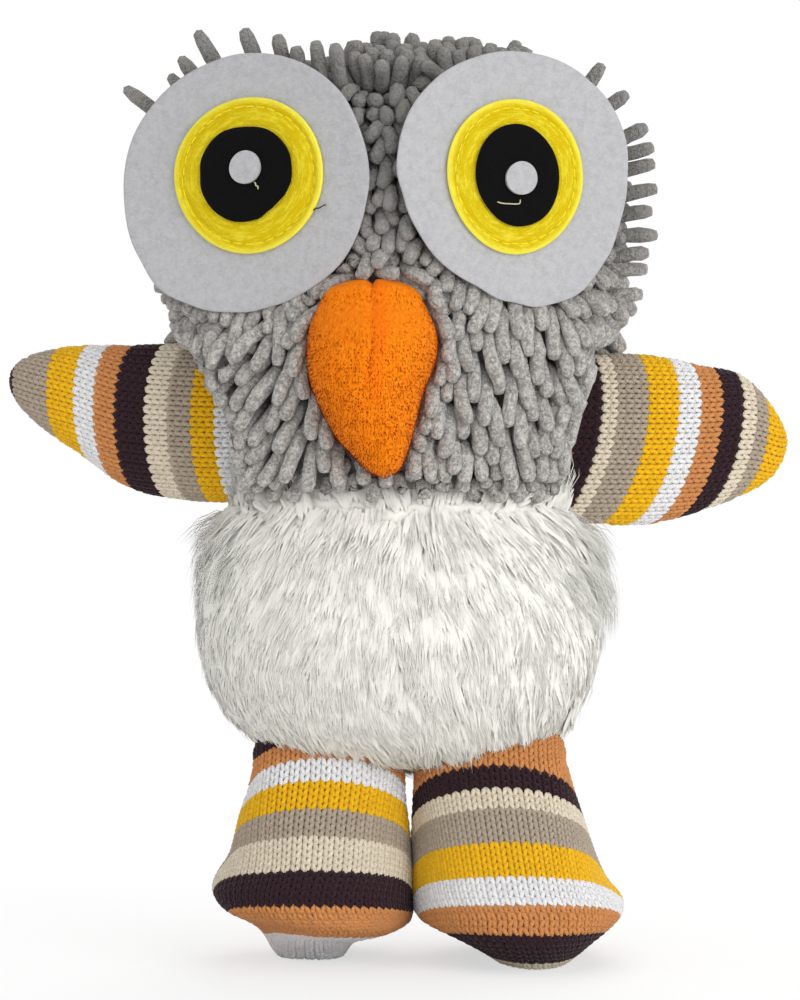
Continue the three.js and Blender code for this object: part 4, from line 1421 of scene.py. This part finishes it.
class KnitPanel:
    """One panel of a limb's knit: rows of stitches across it and columns along it, both
    measured on its surface from the root and from its middle line. The rows bow, less and less
    towards the fade's share of the length, and slant. The shift moves the stripes along."""

    def __init__(self, limb, front, bow, slant=0.0, fade=100.0, shift=0.0):
        self.limb, self.bow, self.slant, self.fade, self.shift = limb, bow, slant, fade, shift
        self.shares = np.linspace(limb.root_share * 0.97, NEARLY_WHOLE, PANEL_ROWS)
        along = travelled(limb.point(self.shares, math.pi / 2 if front else 1.5 * math.pi))
        self.along = along - np.interp(0, self.shares, along)
        self.angles = np.linspace(0, math.pi, PANEL_COLUMNS) + (0 if front else math.pi)
        grid = limb.point(self.shares[:, None], self.angles[None])
        steps = np.linalg.norm(np.diff(grid, axis=1), axis=2)
        across = np.concatenate([np.zeros((len(grid), 1)), np.cumsum(steps, axis=1)], axis=1)
        middle = PANEL_COLUMNS // 2
        self.across = across - across[:, middle:middle + 1]

    def place(self, along, across):
        """Shares and angles at distances along and across the panel, and which are on it."""
        bow = self.bow * np.clip(1 - along / self.along[-1] / self.fade, 0, 1.2)
        bowed = along - bow * (across / MM) ** 2 * MM + self.slant * across
        share = np.interp(bowed, self.along, self.shares)
        row = (share - self.shares[0]) / (self.shares[1] - self.shares[0])
        low = np.minimum(row.astype(int), len(self.shares) - 2)
        part = (row - low)[:, None]
        lines = self.across[low] * (1 - part) + self.across[low + 1] * part
        angle = np.empty(len(share))
        for i, line in enumerate(lines):
            angle[i] = np.interp(across[i], line, self.angles)
        edge = 0.35 * MM
        on = (across > lines[:, 0] + edge) & (across < lines[:, -1] - edge)
        return share, angle, on & (bowed > self.along[0]) & (bowed < self.along[-1])

    def share_of(self, along):
        """The limb's share at a distance along the middle line, below 0 above the root."""
        on = np.interp(along, self.along, self.shares)
        return np.where(along < 0, along / self.along[-1], on)


# One leg of a stitch, from its foot up: shares of a row up, of a column out and of the rise
STITCH_LEG = (
    (-0.86, 0.3, 0.05),
    (-0.55, 0.33, 0.55),
    (0.0, 0.25, 0.95),
    (0.42, 0.13, 0.85),
    (0.62, 0.04, 0.45),
)
# The yarn's radius as a share of a column's width
YARN_RADIUS = 0.25
YARN_SIDES = 5
# How deep under a limb's surface the cover lies that its stitches are laid on
KNIT_DEPTH = 1.1 * MM


def knit_stitches(panel, wale, course, direction, stripes, rng):
    """Paths of the two legs of each stitch of a panel, their heights and their yarns."""
    half = math.ceil(np.abs(panel.across).max() / wale)
    columns = np.arange(-half, half + 1) * wale
    rows = np.arange(-14, panel.along[-1] / course + 8) * course
    rows_grid, columns_grid = (g.reshape(-1) for g in np.meshgrid(rows, columns, indexing="ij"))
    _, _, on = panel.place(rows_grid, columns_grid)
    rows_grid, columns_grid = rows_grid[on], columns_grid[on]
    count = len(rows_grid)
    yarn = stripe_at(stripes, panel.share_of(rows_grid) + panel.shift)
    paths, heights = [], []
    for hand in (-1, 1):
        leg, rise = [], []
        for up, out, lift in STITCH_LEG:
            along = rows_grid + direction * up * course + rng.normal(0, 0.03, count) * course
            share, angle, _ = panel.place(along, columns_grid + hand * out * wale)
            leg.append(panel.limb.point(share, angle))
            rise.append(np.full(count, lift * (wale * YARN_RADIUS)))
        paths.append(np.stack(leg, axis=1))
        heights.append(np.stack(rise, axis=1))
    return np.concatenate(paths), np.concatenate(heights), np.tile(yarn, 2)


def make_knit(limb, panels, covers, stripes, direction, sizes, yarns, tree):
    """A limb's knitted surface: every stitch of both panels, laid on its stuffed shell."""
    rng = np.random.default_rng(len(limb.name) + 31)
    wale, course = sizes.wale_pitch, sizes.course_pitch
    found = [knit_stitches(p, wale, course, direction, stripes, rng) for p in panels]
    paths, heights, yarn = (np.concatenate(parts) for parts in zip(*found))
    settled = settle_on(tree, paths.reshape(-1, 3), heights.reshape(-1)).reshape(paths.shape)
    settled[..., 2] = np.maximum(settled[..., 2], wale * 0.27)
    lines = along_paths(settled, [0, 0.12, 0.38, 0.66, 0.9, 1])
    radii = wale * YARN_RADIUS * np.array([0.85, 1.0, 1.06, 0.9])
    points, faces, each = tubes(lines, radii, YARN_SIDES)
    piece = new_piece(f"{limb.name}_knit", points, faces, *yarns)
    count = len(lines)
    set_attribute(piece, "hue", np.repeat(rng.uniform(0, 1, count), each))
    numbers = np.concatenate([np.repeat(yarn, len(kind) // count) for kind in faces])
    piece.data.polygons.foreach_set("material_index", numbers.astype(np.int32))
    add_strand_uv(piece, each, count)
    dress(piece, limb.name, "striped_knit", *covers)


def add_strand_uv(piece, each, count):
    """A UV map that runs along each strand and round it."""
    rings = (each - 2) // YARN_SIDES
    u = np.concatenate([np.repeat(np.linspace(0.15, 0.85, rings), YARN_SIDES), [0, 1]])
    v = np.concatenate([np.tile(np.arange(YARN_SIDES) / YARN_SIDES, rings), [0.5, 0.5]])
    pairs = np.tile(np.stack([u * 3, v], axis=1), (count, 1))
    layer = piece.data.uv_layers.new(name="strand")
    corners = np.empty(len(piece.data.loops), np.int32)
    piece.data.loops.foreach_get("vertex_index", corners)
    layer.uv.foreach_set("vector", pairs[corners].astype(np.float32).reshape(-1))


def make_limb_core(limb, yarns, stripes):
    """The stuffed cover of a limb, in the stripes' colours, which its stitches lie on."""
    piece = new_piece(f"{limb.name}_cover", *limb_shell(limb, KNIT_DEPTH))
    stuff(piece, 2 * MM, 4.0, 1.2 * MM)
    for yarn in yarns:
        piece.data.materials.append(yarn)
    centres = read_array(piece.data.polygons, "center", 3)
    share = limb.to_own(centres)[:, 0] / limb.length
    piece.data.polygons.foreach_set("material_index", stripe_at(stripes, share).astype(np.int32))
    dress(piece, limb.name, "striped_knit", f"{limb.name}_stuffing")
    return piece


def make_limb(limb, stripes, direction, panels, covers, sizes, colours):
    """A limb: its stuffed cover, and the knitted stitches of both its panels on it."""
    yarns = yarn_materials(colours)
    core = make_limb_core(limb, yarns, stripes)
    nodes = [f"{limb.name}_{cover}_panel" for cover in covers]
    make_knit(limb, panels, nodes, stripes, direction, sizes, yarns, tree_of(core))


# Eyes
# Outlines of felt that was cut by hand: degrees round it, and share of its oval's radius
LEFT_DISC_OUTLINE = {
    0: 1, 20: 1, 41: 1.02, 90: 1, 111: 0.99, 137: 1, 157: 1.01, 185: 1.0, 212: 1.03, 229: 1.07,
    247: 1.035, 267: 1, 284: 0.975, 300: 0.97, 323: 0.99, 348: 0.985,
}
RIGHT_DISC_OUTLINE = {
    0: 1, 22: 1.04, 36: 1.045, 54: 1.03, 90: 1, 110: 0.99, 131: 1, 150: 1.01, 176: 1, 192: 0.955,
    213: 0.925, 248: 0.9, 268: 0.96, 286: 1.03, 304: 1.065, 323: 1.03, 343: 0.995,
}
LEFT_PUPIL_OUTLINE = {
    0: 1, 30: 1.04, 60: 1.05, 90: 1.01, 125: 1.06, 160: 1.04, 180: 1, 205: 1.03, 235: 1.05,
    250: 1.06, 284: 1.02, 300: 0.955, 316: 0.94, 332: 0.97, 350: 1,
}
RIGHT_PUPIL_OUTLINE = {
    0: 1, 45: 0.98, 90: 1, 130: 1.01, 180: 1, 225: 0.97, 270: 1, 315: 1.03,
}
# How far a felt piece's surface stands out, in millimetres, at shares of its radius
FLAT_RISES = {0: 0, 1: 0}
DISC_RISES = {0: 0.2, 0.6: 0.1, 0.9: 0, 0.97: 0.15, 1: -0.1}
IRIS_RISES = {0: 0.5, 0.62: 0.5, 0.78: 0.75, 0.86: 0.2, 0.885: -0.25, 0.91: 0.3, 0.96: 0.55, 1: 0.1}
PUPIL_RISES = {0: 0.25, 0.7: 0.3, 0.92: 0.25, 1: 0}


IRIS_OUTLINE = {0: 1, 50: 1.012, 100: 0.995, 160: 1.01, 215: 0.985, 265: 1.01, 315: 0.99}
HIGHLIGHT_OUTLINE = {0: 1, 70: 1.03, 140: 0.98, 210: 1.02, 280: 0.99}
# The felt of each eye from the back forwards: half-width, half-height, how far its middle lies
# right of and above the disc's place, all in millimetres, its outline and its surface
EYE_FELT = {
    LEFT_DISC: {
        "disc": (40.3, 39.4, 0, 1.2, LEFT_DISC_OUTLINE, DISC_RISES),
        "iris": (24.3, 23.5, 1.5, 3.3, IRIS_OUTLINE, IRIS_RISES),
        "pupil": (14.9, 14.0, 1.3, 3.6, LEFT_PUPIL_OUTLINE, PUPIL_RISES),
        "highlight": (5.02, 5.0, 1.5, 5.4, HIGHLIGHT_OUTLINE, FLAT_RISES),
    },
    RIGHT_DISC: {
        "disc": (37.4, 38.6, -0.45, 1.8, RIGHT_DISC_OUTLINE, DISC_RISES),
        "iris": (21.8, 23.2, -0.2, 2.4, IRIS_OUTLINE, IRIS_RISES),
        "pupil": (13.4, 15.4, -0.1, 2.6, RIGHT_PUPIL_OUTLINE, PUPIL_RISES),
        "highlight": (5.02, 5.0, 0.7, 1.6, HIGHLIGHT_OUTLINE, FLAT_RISES),
    },
}
# Widths of a felt piece's rings of faces from its edge inwards, as shares of its radius
FELT_RINGS = (0.02, 0.025, 0.025, 0.025, 0.025, 0.03, 0.07, 0.1, 0.14, 0.16, 0.18)
# The soft wave of the felt: its height, the reach from the disc's middle there, and its turn
WAVE_HEIGHT, WAVE_REACH, WAVE_TURN = 1.3 * MM, 39 * MM, 0.6
STITCH_COUNT = 38
# Half-width, half-height and place of the ring of stitches on each iris, in millimetres
STITCH_RINGS = {LEFT_DISC: (21.5, 20.8, 1.5, 3.3), RIGHT_DISC: (19.3, 20.5, -0.2, 2.4)}


def outline_at(outline, angle):
    """An outline's share of radius at some angles, on a smooth closed curve."""
    degrees = np.array(list(outline), float)
    degrees = np.concatenate([degrees - 360, degrees, degrees + 360])
    shares = np.tile(np.array(list(outline.values()), float), 3)
    turn = np.degrees(angle) % 360
    i = np.searchsorted(degrees, turn, side="right") - 1
    t = smooth_step(turn, degrees[i], degrees[i + 1])
    return shares[i] * (1 - t) + shares[i + 1] * t


def felt_piece(name, disc, size, centre, level, outline, rises, material, thickness):
    """A piece of felt, cut by hand, laid on a disc's plane at a level in front of it."""
    deselect_all()
    bpy.ops.mesh.primitive_circle_add(vertices=96, radius=1, fill_type="NGON")
    piece = bpy.context.object
    piece.name = piece.data.name = name
    bpy.ops.object.mode_set(mode="EDIT")
    bpy.ops.mesh.select_all(action="SELECT")
    for width in FELT_RINGS:
        bpy.ops.mesh.inset(thickness=width)
    bpy.ops.object.mode_set(mode="OBJECT")
    flat = read_points(piece.data)
    angle, radius = np.arctan2(flat[:, 1], flat[:, 0]), np.hypot(flat[:, 0], flat[:, 1])
    reach = outline_at(outline, angle)
    right = centre[0] + flat[:, 0] * reach * size[0]
    up = centre[1] + flat[:, 1] * reach * size[1]
    rise = np.interp(radius, list(rises), list(rises.values())) * MM
    wave = WAVE_HEIGHT * ((right**2 + up**2) / WAVE_REACH**2)
    wave = wave * np.sin(2 * np.arctan2(up, right) + WAVE_TURN)
    move_points(piece, disc.to_world(right, up, level + rise + wave))
    set_attribute(piece, "out", radius)
    round_it = piece.data.attributes.new("around", "FLOAT_VECTOR", "POINT")
    place = np.stack([radius * 22, np.cos(angle) * 3, np.sin(angle) * 3], axis=1)
    round_it.data.foreach_set("vector", place.reshape(-1).astype(np.float32))
    apply_modifier(piece, "SOLIDIFY", thickness=thickness, offset=0)
    bpy.ops.object.mode_set(mode="EDIT")
    bpy.ops.mesh.select_all(action="SELECT")
    bpy.ops.mesh.normals_make_consistent(inside=False)
    bpy.ops.object.mode_set(mode="OBJECT")
    apply_modifier(piece, "BEVEL", width=0.35 * MM, segments=2, limit_method="ANGLE")
    bpy.ops.object.shade_smooth_by_angle(angle=math.radians(50))
    piece.data.materials.append(material)
    return piece


def make_eyes(sizes, colours):
    """Both eyes: a grey disc, a yellow iris, a black pupil and a small grey highlight."""
    grey = felt_finish(
        "grey_felt", tuple(colours.grey_felt), linear(197, 197, 200), linear(160, 160, 163))
    yellow = iris_rings(felt_finish(
        "yellow_felt", tuple(colours.yellow_felt), linear(232, 218, 44), linear(194, 167, 0)))
    black = felt_finish(
        "black_felt", tuple(colours.black_felt), linear(13, 13, 15), linear(3, 3, 4))
    finishes = {"disc": grey, "iris": yellow, "pupil": black, "highlight": grey}
    layer = sizes.felt_thickness * 1.04
    for disc, parts in EYE_FELT.items():
        for depth, (part, plan) in enumerate(parts.items()):
            wide, high, right, up, outline, rises = plan
            wide, high, centre = wide * MM, high * MM, (right * MM, up * MM)
            level = depth * layer + (0.45 * MM if depth > 1 else 0)
            name = f"{disc.side}_eye_{part}"
            piece = felt_piece(
                f"{name}_felt", disc, (wide, high), centre, level, outline, rises,
                finishes[part].material, sizes.felt_thickness)
            slot = {"iris": "yellow_felt", "pupil": "black_felt"}.get(part, "grey_felt")
            dress(piece, "trunk", slot, name)


def make_eye_threads(sizes, colours):
    """The ring of stitches that holds each iris, and the thread ends that were left on."""
    yellow = thread_finish("yellow_thread", linear(240, 222, 30))
    rng = np.random.default_rng(41)
    level = sizes.felt_thickness * 1.54
    turn = FULL_TURN / STITCH_COUNT
    shares = np.linspace(0, 1, 6)
    arch = np.sin(shares * math.pi) ** 0.6 * 0.22 * MM - 0.1 * MM
    for disc, (wide, high, right, up) in STITCH_RINGS.items():
        start = np.arange(STITCH_COUNT) * turn + rng.normal(0, 0.01, STITCH_COUNT)
        angle = start[:, None] + shares[None] * turn * 0.94
        sag = 0.35 * MM * np.sin(2 * angle + WAVE_TURN)
        stray = rng.normal(0, 0.12, STITCH_COUNT)[:, None] * MM
        paths = disc.to_world(
            right * MM + (wide * MM + stray) * np.cos(angle),
            up * MM + (high * MM + stray) * np.sin(angle),
            level + arch[None] + sag)
        points, faces, _ = tubes(paths, 0.24 * MM, 6)
        piece = new_piece(f"{disc.side}_eye_stitches", points, faces, yellow)
        dress(piece, "trunk", "yellow_thread", f"{disc.side}_eye_stitching")
    pale = thread_finish("pale_thread", linear(196, 190, 160))
    black = thread_finish("black_thread", linear(16, 15, 16))
    top = sizes.felt_thickness * 2.7 + 0.75 * MM
    loose_thread("left_pupil_knot", LEFT_DISC, pale, [
        (4.2, 0.9, top), (4.9, 0.5, top + 0.25 * MM), (5.0, -0.2, top + 0.3 * MM),
        (5.7, -0.5, top + 0.25 * MM), (5.5, -1.4, top + 0.1 * MM)])
    loose_thread("left_iris_end", LEFT_DISC, black, [
        (22.6, -8.2, level), (23.6, -7.5, level + 0.5 * MM), (24.8, -7.4, level + 0.5 * MM),
        (25.9, -6.6, level - 0.1 * MM), (26.7, -6.4, level - 0.6 * MM)])
    loose_thread("right_pupil_end", RIGHT_DISC, pale, [
        (-7.2, -5.6, top), (-5.6, -6.1, top + 0.25 * MM), (-3.2, -6.2, top + 0.3 * MM),
        (-0.8, -6.2, top + 0.25 * MM), (0.2, -5.9, top + 0.3 * MM), (0.4, -4.6, top + 0.1 * MM)])


def loose_thread(name, disc, material, places):
    """A thread end that was left on an eye, through places on its disc."""
    across = np.array([[right * MM, up * MM, front] for right, up, front in places])
    path = disc.to_world(across[:, 0], across[:, 1], across[:, 2])[None]
    line = along_paths(path, np.linspace(0, 1, 14))
    points, faces, _ = tubes(line, 0.2 * MM, 6)
    piece = new_piece(name, points, faces, material)
    dress(piece, "trunk", "yellow_thread")


# Stage
# The square lamps: where each stands, its width and its power
LAMPS = {
    "key_light": ((0.95, -1.15, 0.45), 1.3, 13.6),
    "fill_light": ((-0.45, -1.25, 0.45), 1.3, 3.6),
    "back_light": ((0.2, 1.1, 0.7), 0.8, 8),
}
WORLD_LIGHT = 0.71
CAMERA_DISTANCE, CAMERA_HEIGHT = 1.1, 142.8 * MM
LENS, SENSOR_HEIGHT = 125.7, 36


def make_stage():
    """A white floor that keeps a soft shadow, plain soft light, and the photograph's view."""
    scene = bpy.context.scene
    scene.view_settings.view_transform = "Standard"
    floor_points = np.array([[-3, -3, 0], [3, -3, 0], [3, 3, 0], [-3, 3, 0]], float)
    floor = new_piece("floor", floor_points, [np.array([[0, 1, 2, 3]])], floor_finish())
    scene.world = bpy.data.worlds.new("studio")
    scene.world.use_nodes = True
    nodes, links = scene.world.node_tree.nodes, scene.world.node_tree.links
    lights, seen = nodes["Background"], nodes.new("ShaderNodeBackground")
    for background, strength in ((lights, WORLD_LIGHT), (seen, 1)):
        background.inputs["Color"].default_value = (1, 1, 1, 1)
        background.inputs["Strength"].default_value = strength
    mix = nodes.new("ShaderNodeMixShader")
    links.new(seen_directly(nodes, links), mix.inputs["Fac"])
    links.new(lights.outputs["Background"], mix.inputs[1])
    links.new(seen.outputs["Background"], mix.inputs[2])
    links.new(mix.outputs["Shader"], nodes["World Output"].inputs["Surface"])
    for name, (place, size, power) in LAMPS.items():
        add_light(name, place, size, power)
    camera = bpy.data.objects.new("photograph_view", bpy.data.cameras.new("photograph_view"))
    scene.collection.objects.link(camera)
    camera.data.sensor_fit = "VERTICAL"
    camera.data.sensor_height = SENSOR_HEIGHT
    camera.data.lens = LENS
    camera.location = (TRUNK_MIDDLE.x, TRUNK_MIDDLE.y - CAMERA_DISTANCE, CAMERA_HEIGHT)
    camera.rotation_euler = (math.pi / 2, 0, 0)
    scene.camera = camera


def add_light(name, place, size, power):
    """A square soft light that points at the owl's middle."""
    lamp = bpy.data.lights.new(name, "AREA")
    lamp.size, lamp.energy = size, power
    light = bpy.data.objects.new(name, lamp)
    light.location = place
    towards = Vector((0, 0, 0.14)) - Vector(place)
    light.rotation_euler = towards.to_track_quat("-Z", "Y").to_euler()
    bpy.context.scene.collection.objects.link(light)


def seen_directly(nodes, links):
    """1 for what the camera sees straight, or in a gloss or through glass."""
    ray = nodes.new("ShaderNodeLightPath").outputs
    seen = math_node(nodes, links, "MAXIMUM", ray["Is Camera Ray"], ray["Is Glossy Ray"])
    return math_node(nodes, links, "MAXIMUM", seen, ray["Is Transmission Ray"])


def floor_finish():
    """A matt white floor. Away from the owl it fades into the white background."""
    finish = Finish("floor_paper", (0.9, 0.9, 0.9))
    nodes, links = finish.nodes, finish.links
    distance = nodes.new("ShaderNodeVectorMath")
    distance.operation = "LENGTH"
    links.new(finish.place, distance.inputs[0])
    fade = finish.spread(distance.outputs["Value"], 0.08, 0.3, 0.6, 1)
    shown = finish.math("MULTIPLY", seen_directly(nodes, links), fade)
    white = nodes.new("ShaderNodeEmission")
    white.inputs["Color"].default_value = (1, 1, 1, 1)
    mix = nodes.new("ShaderNodeMixShader")
    links.new(shown, mix.inputs["Fac"])
    links.new(finish.shader.outputs["BSDF"], mix.inputs[1])
    links.new(white.outputs["Emission"], mix.inputs[2])
    links.new(mix.outputs["Shader"], nodes["Material Output"].inputs["Surface"])
    return finish.material


# Wings, feet and beak
def yarn_materials(colours):
    """The yarns' materials in the order of YARNS. The first limb makes them for all four."""
    found = [bpy.data.materials.get(f"{yarn}_yarn") for yarn in YARNS]
    if all(found):
        return found
    return [yarn_finish(f"{yarn}_yarn", tuple(getattr(colours, yarn))) for yarn in YARNS]


def make_wings(sizes, colours):
    """Both wings. Their rows bow, and those of the right wing slant as well."""
    plans = (
        (LEFT_WING, LEFT_WING_STRIPES, 1, 0.004, 0.0),
        (RIGHT_WING, RIGHT_WING_STRIPES, -1, 0.0058, 0.2),
    )
    for limb, stripes, direction, bow, slant in plans:
        front = KnitPanel(limb, True, bow, -slant)
        back = KnitPanel(limb, False, bow, slant, shift=0.03)
        covers = ("front", "back")
        make_limb(limb, stripes, direction, (front, back), covers, sizes, colours)


def make_feet(sizes, colours):
    """Both feet. Their rows bow the other way, less and less towards the soles."""
    plans = ((LEFT_FOOT, LEFT_FOOT_STRIPES, 1), (RIGHT_FOOT, RIGHT_FOOT_STRIPES, -1))
    for limb, stripes, direction in plans:
        panels = [KnitPanel(limb, upper, -0.0095, fade=0.68) for upper in (True, False)]
        make_limb(limb, stripes, direction, panels, ("upper", "sole"), sizes, colours)


# What both the beak's cover and its pile carry for their material: the painted shade of its left
# half, and the side of its seam
BEAK_MARKS = ("left_half", "seam_side")
PILE_COUNT = 16000
PILE_LENGTH, PILE_RADIUS = 1.0 * MM, 0.07 * MM
PILE_COMB = np.array((0, -0.1, -1))


def make_beak(sizes, colours):
    """The beak: a stuffed cover of two halves with a seam down its middle, and its short pile."""
    plush = plush_finish("orange_plush", tuple(colours.beak))
    cover = new_piece("beak_cover", *limb_shell(BEAK, 0.8 * MM))
    stuff(cover, 2.2 * MM, 3.0, 1.0 * MM)
    points = read_points(cover.data)
    own = BEAK.to_own(points)
    middle = BEAK.section(np.clip(own[:, 0] / BEAK.length, 0, 1))[0]
    seam = np.exp(-(((own[:, 2] - middle * 1.2) / (0.9 * MM)) ** 2))
    upper = 1 - smooth_step(own[:, 0], 0.25 * BEAK.length, 0.8 * BEAK.length)
    front = smooth_step(-own[:, 1], -6 * MM, 2 * MM)
    # The seam draws the front in, and notches the top
    points[:, 1] += seam * front * (0.35 + 0.65 * upper) * 1.1 * MM
    points[:, 2] -= seam * smooth_step(-own[:, 0], 3 * MM, 8 * MM) * 1.6 * MM
    move_points(cover, points)
    cover.data.materials.append(plush)
    side = (own[:, 2] - middle) / MM
    # Painted shade: how far each point lies in the beak's left half, away from the light
    set_attribute(cover, "left_half", smooth_step(-side, 0.3, 3))
    set_attribute(cover, "seam_side", np.exp(-(((side - 2.2) / 2.6) ** 2)) * upper)
    dress(cover, "beak", "orange_plush", "beak_left_panel", "beak_right_panel", "beak_stuffing")
    dress(make_pile(cover, plush), "beak", "orange_plush")


def make_pile(cover, material):
    """The beak's short combed pile: a closed three-sided point for each tuft of its fibres."""
    rng = np.random.default_rng(51)
    mesh, count = cover.data, PILE_COUNT
    areas = read_array(mesh.polygons, "area")
    chosen = rng.choice(len(areas), count, p=areas.astype(float) / areas.sum(dtype=float))
    points = read_points(mesh)
    on_cover = [read_array(mesh.attributes[mark].data, "value") for mark in BEAK_MARKS]
    root, normal, marks = np.empty((count, 3)), np.empty((count, 3)), np.empty((count, 2))
    for i, face in enumerate(chosen):
        polygon = mesh.polygons[int(face)]
        corners = list(polygon.vertices)
        weights = rng.dirichlet(np.ones(len(corners)))
        root[i] = weights @ points[corners]
        normal[i] = polygon.normal
        marks[i] = [values[corners[0]] for values in on_cover]
    lean = unit(normal * 0.5 + PILE_COMB * 0.9 + rng.normal(0, 0.12, (count, 3)))
    side = unit(np.cross(lean, normal + 1e-4))
    other = np.cross(side, lean)
    base = root - normal * 0.05 * MM
    angles = angles_round(3)
    spokes = side[:, None] * np.cos(angles)[:, None] + other[:, None] * np.sin(angles)[:, None]
    tip = base + lean * (PILE_LENGTH * rng.uniform(0.6, 1.15, count))[:, None]
    corners = np.concatenate([base[:, None] + spokes * PILE_RADIUS, tip[:, None]], axis=1)
    faces = np.array([[0, 2, 1], [0, 1, 3], [1, 2, 3], [2, 0, 3]])
    pile = new_piece("beak_pile", corners.reshape(-1, 3), [copies(faces, count, 4)], material)
    for column, mark in enumerate(BEAK_MARKS):
        set_attribute(pile, mark, np.repeat(marks[:, column], 4))
    soften_shading(pile, np.repeat(normal, 4, axis=0), 0.1)
    return pile


class OWL_OT_stage(bpy.types.Operator):
    """Add the white floor, the soft lights and the photograph's camera"""

    bl_idname = "owl.stage"
    bl_label = "Stage"

    def execute(self, context):
        make_stage()
        return {"FINISHED"}


class OWL_OT_backings(bpy.types.Operator):
    """Make the stuffed head and body that carry the pile and the fur"""

    bl_idname = "owl.backings"
    bl_label = "Head and body backings"

    def execute(self, context):
        make_backings(context.scene.owl_sizes, context.scene.owl_colours)
        return {"FINISHED"}


class OWL_OT_noodles(bpy.types.Operator):
    """Make the chenille noodles of the head"""

    bl_idname = "owl.noodles"
    bl_label = "Head noodles"

    def execute(self, context):
        make_noodles(context.scene.owl_sizes, context.scene.owl_colours)
        return {"FINISHED"}


class OWL_OT_fur(bpy.types.Operator):
    """Make the combed fur of the body"""

    bl_idname = "owl.fur"
    bl_label = "Body fur"

    def execute(self, context):
        make_fur(context.scene.owl_sizes, context.scene.owl_colours)
        return {"FINISHED"}


class OWL_OT_eyes(bpy.types.Operator):
    """Cut and lay the felt of both eyes"""

    bl_idname = "owl.eyes"
    bl_label = "Felt eyes"

    def execute(self, context):
        make_eyes(context.scene.owl_sizes, context.scene.owl_colours)
        return {"FINISHED"}


class OWL_OT_eye_threads(bpy.types.Operator):
    """Sew the stitches round both irises"""

    bl_idname = "owl.eye_threads"
    bl_label = "Eye stitches"

    def execute(self, context):
        make_eye_threads(context.scene.owl_sizes, context.scene.owl_colours)
        return {"FINISHED"}


class OWL_OT_wings(bpy.types.Operator):
    """Stuff and knit both wings"""

    bl_idname = "owl.wings"
    bl_label = "Wings"

    def execute(self, context):
        make_wings(context.scene.owl_sizes, context.scene.owl_colours)
        return {"FINISHED"}


class OWL_OT_feet(bpy.types.Operator):
    """Stuff and knit both feet"""

    bl_idname = "owl.feet"
    bl_label = "Feet"

    def execute(self, context):
        make_feet(context.scene.owl_sizes, context.scene.owl_colours)
        return {"FINISHED"}


class OWL_OT_beak(bpy.types.Operator):
    """Stuff the beak and give it its short pile"""

    bl_idname = "owl.beak"
    bl_label = "Beak"

    def execute(self, context):
        make_beak(context.scene.owl_sizes, context.scene.owl_colours)
        return {"FINISHED"}


TOOLS = (
    OWL_OT_stage,
    OWL_OT_backings,
    OWL_OT_beak,
    OWL_OT_wings,
    OWL_OT_feet,
    OWL_OT_eyes,
    OWL_OT_eye_threads,
    OWL_OT_noodles,
    OWL_OT_fur,
)


class VIEW3D_PT_owl(bpy.types.Panel):
    """Lists the tools that make the owl, with its sizes and colours"""

    bl_label = "Plush owl"
    bl_space_type = "VIEW_3D"
    bl_region_type = "UI"
    bl_category = "Owl"

    def draw(self, context):
        for group in (context.scene.owl_sizes, context.scene.owl_colours):
            box = self.layout.box()
            for name in type(group).__annotations__:
                box.prop(group, name)
        for operator in TOOLS:
            self.layout.operator(operator.bl_idname)


CLASSES = (OwlSizes, OwlColours, *TOOLS, VIEW3D_PT_owl)


def register():
    for added in CLASSES:
        bpy.utils.register_class(added)
    bpy.types.Scene.owl_sizes = bpy.props.PointerProperty(type=OwlSizes)
    bpy.types.Scene.owl_colours = bpy.props.PointerProperty(type=OwlColours)


def unregister():
    del bpy.types.Scene.owl_colours
    del bpy.types.Scene.owl_sizes
    for added in reversed(CLASSES):
        bpy.utils.unregister_class(added)


def corners(bounds):
    """A box's corners as plain lists of numbers."""
    return [[float(v) for v in corner] for corner in bounds]


def main():
    register()
    for operator in TOOLS:
        group, name = operator.bl_idname.split(".")
        getattr(getattr(bpy.ops, group), name)()


if __name__ == "__main__":
    main()
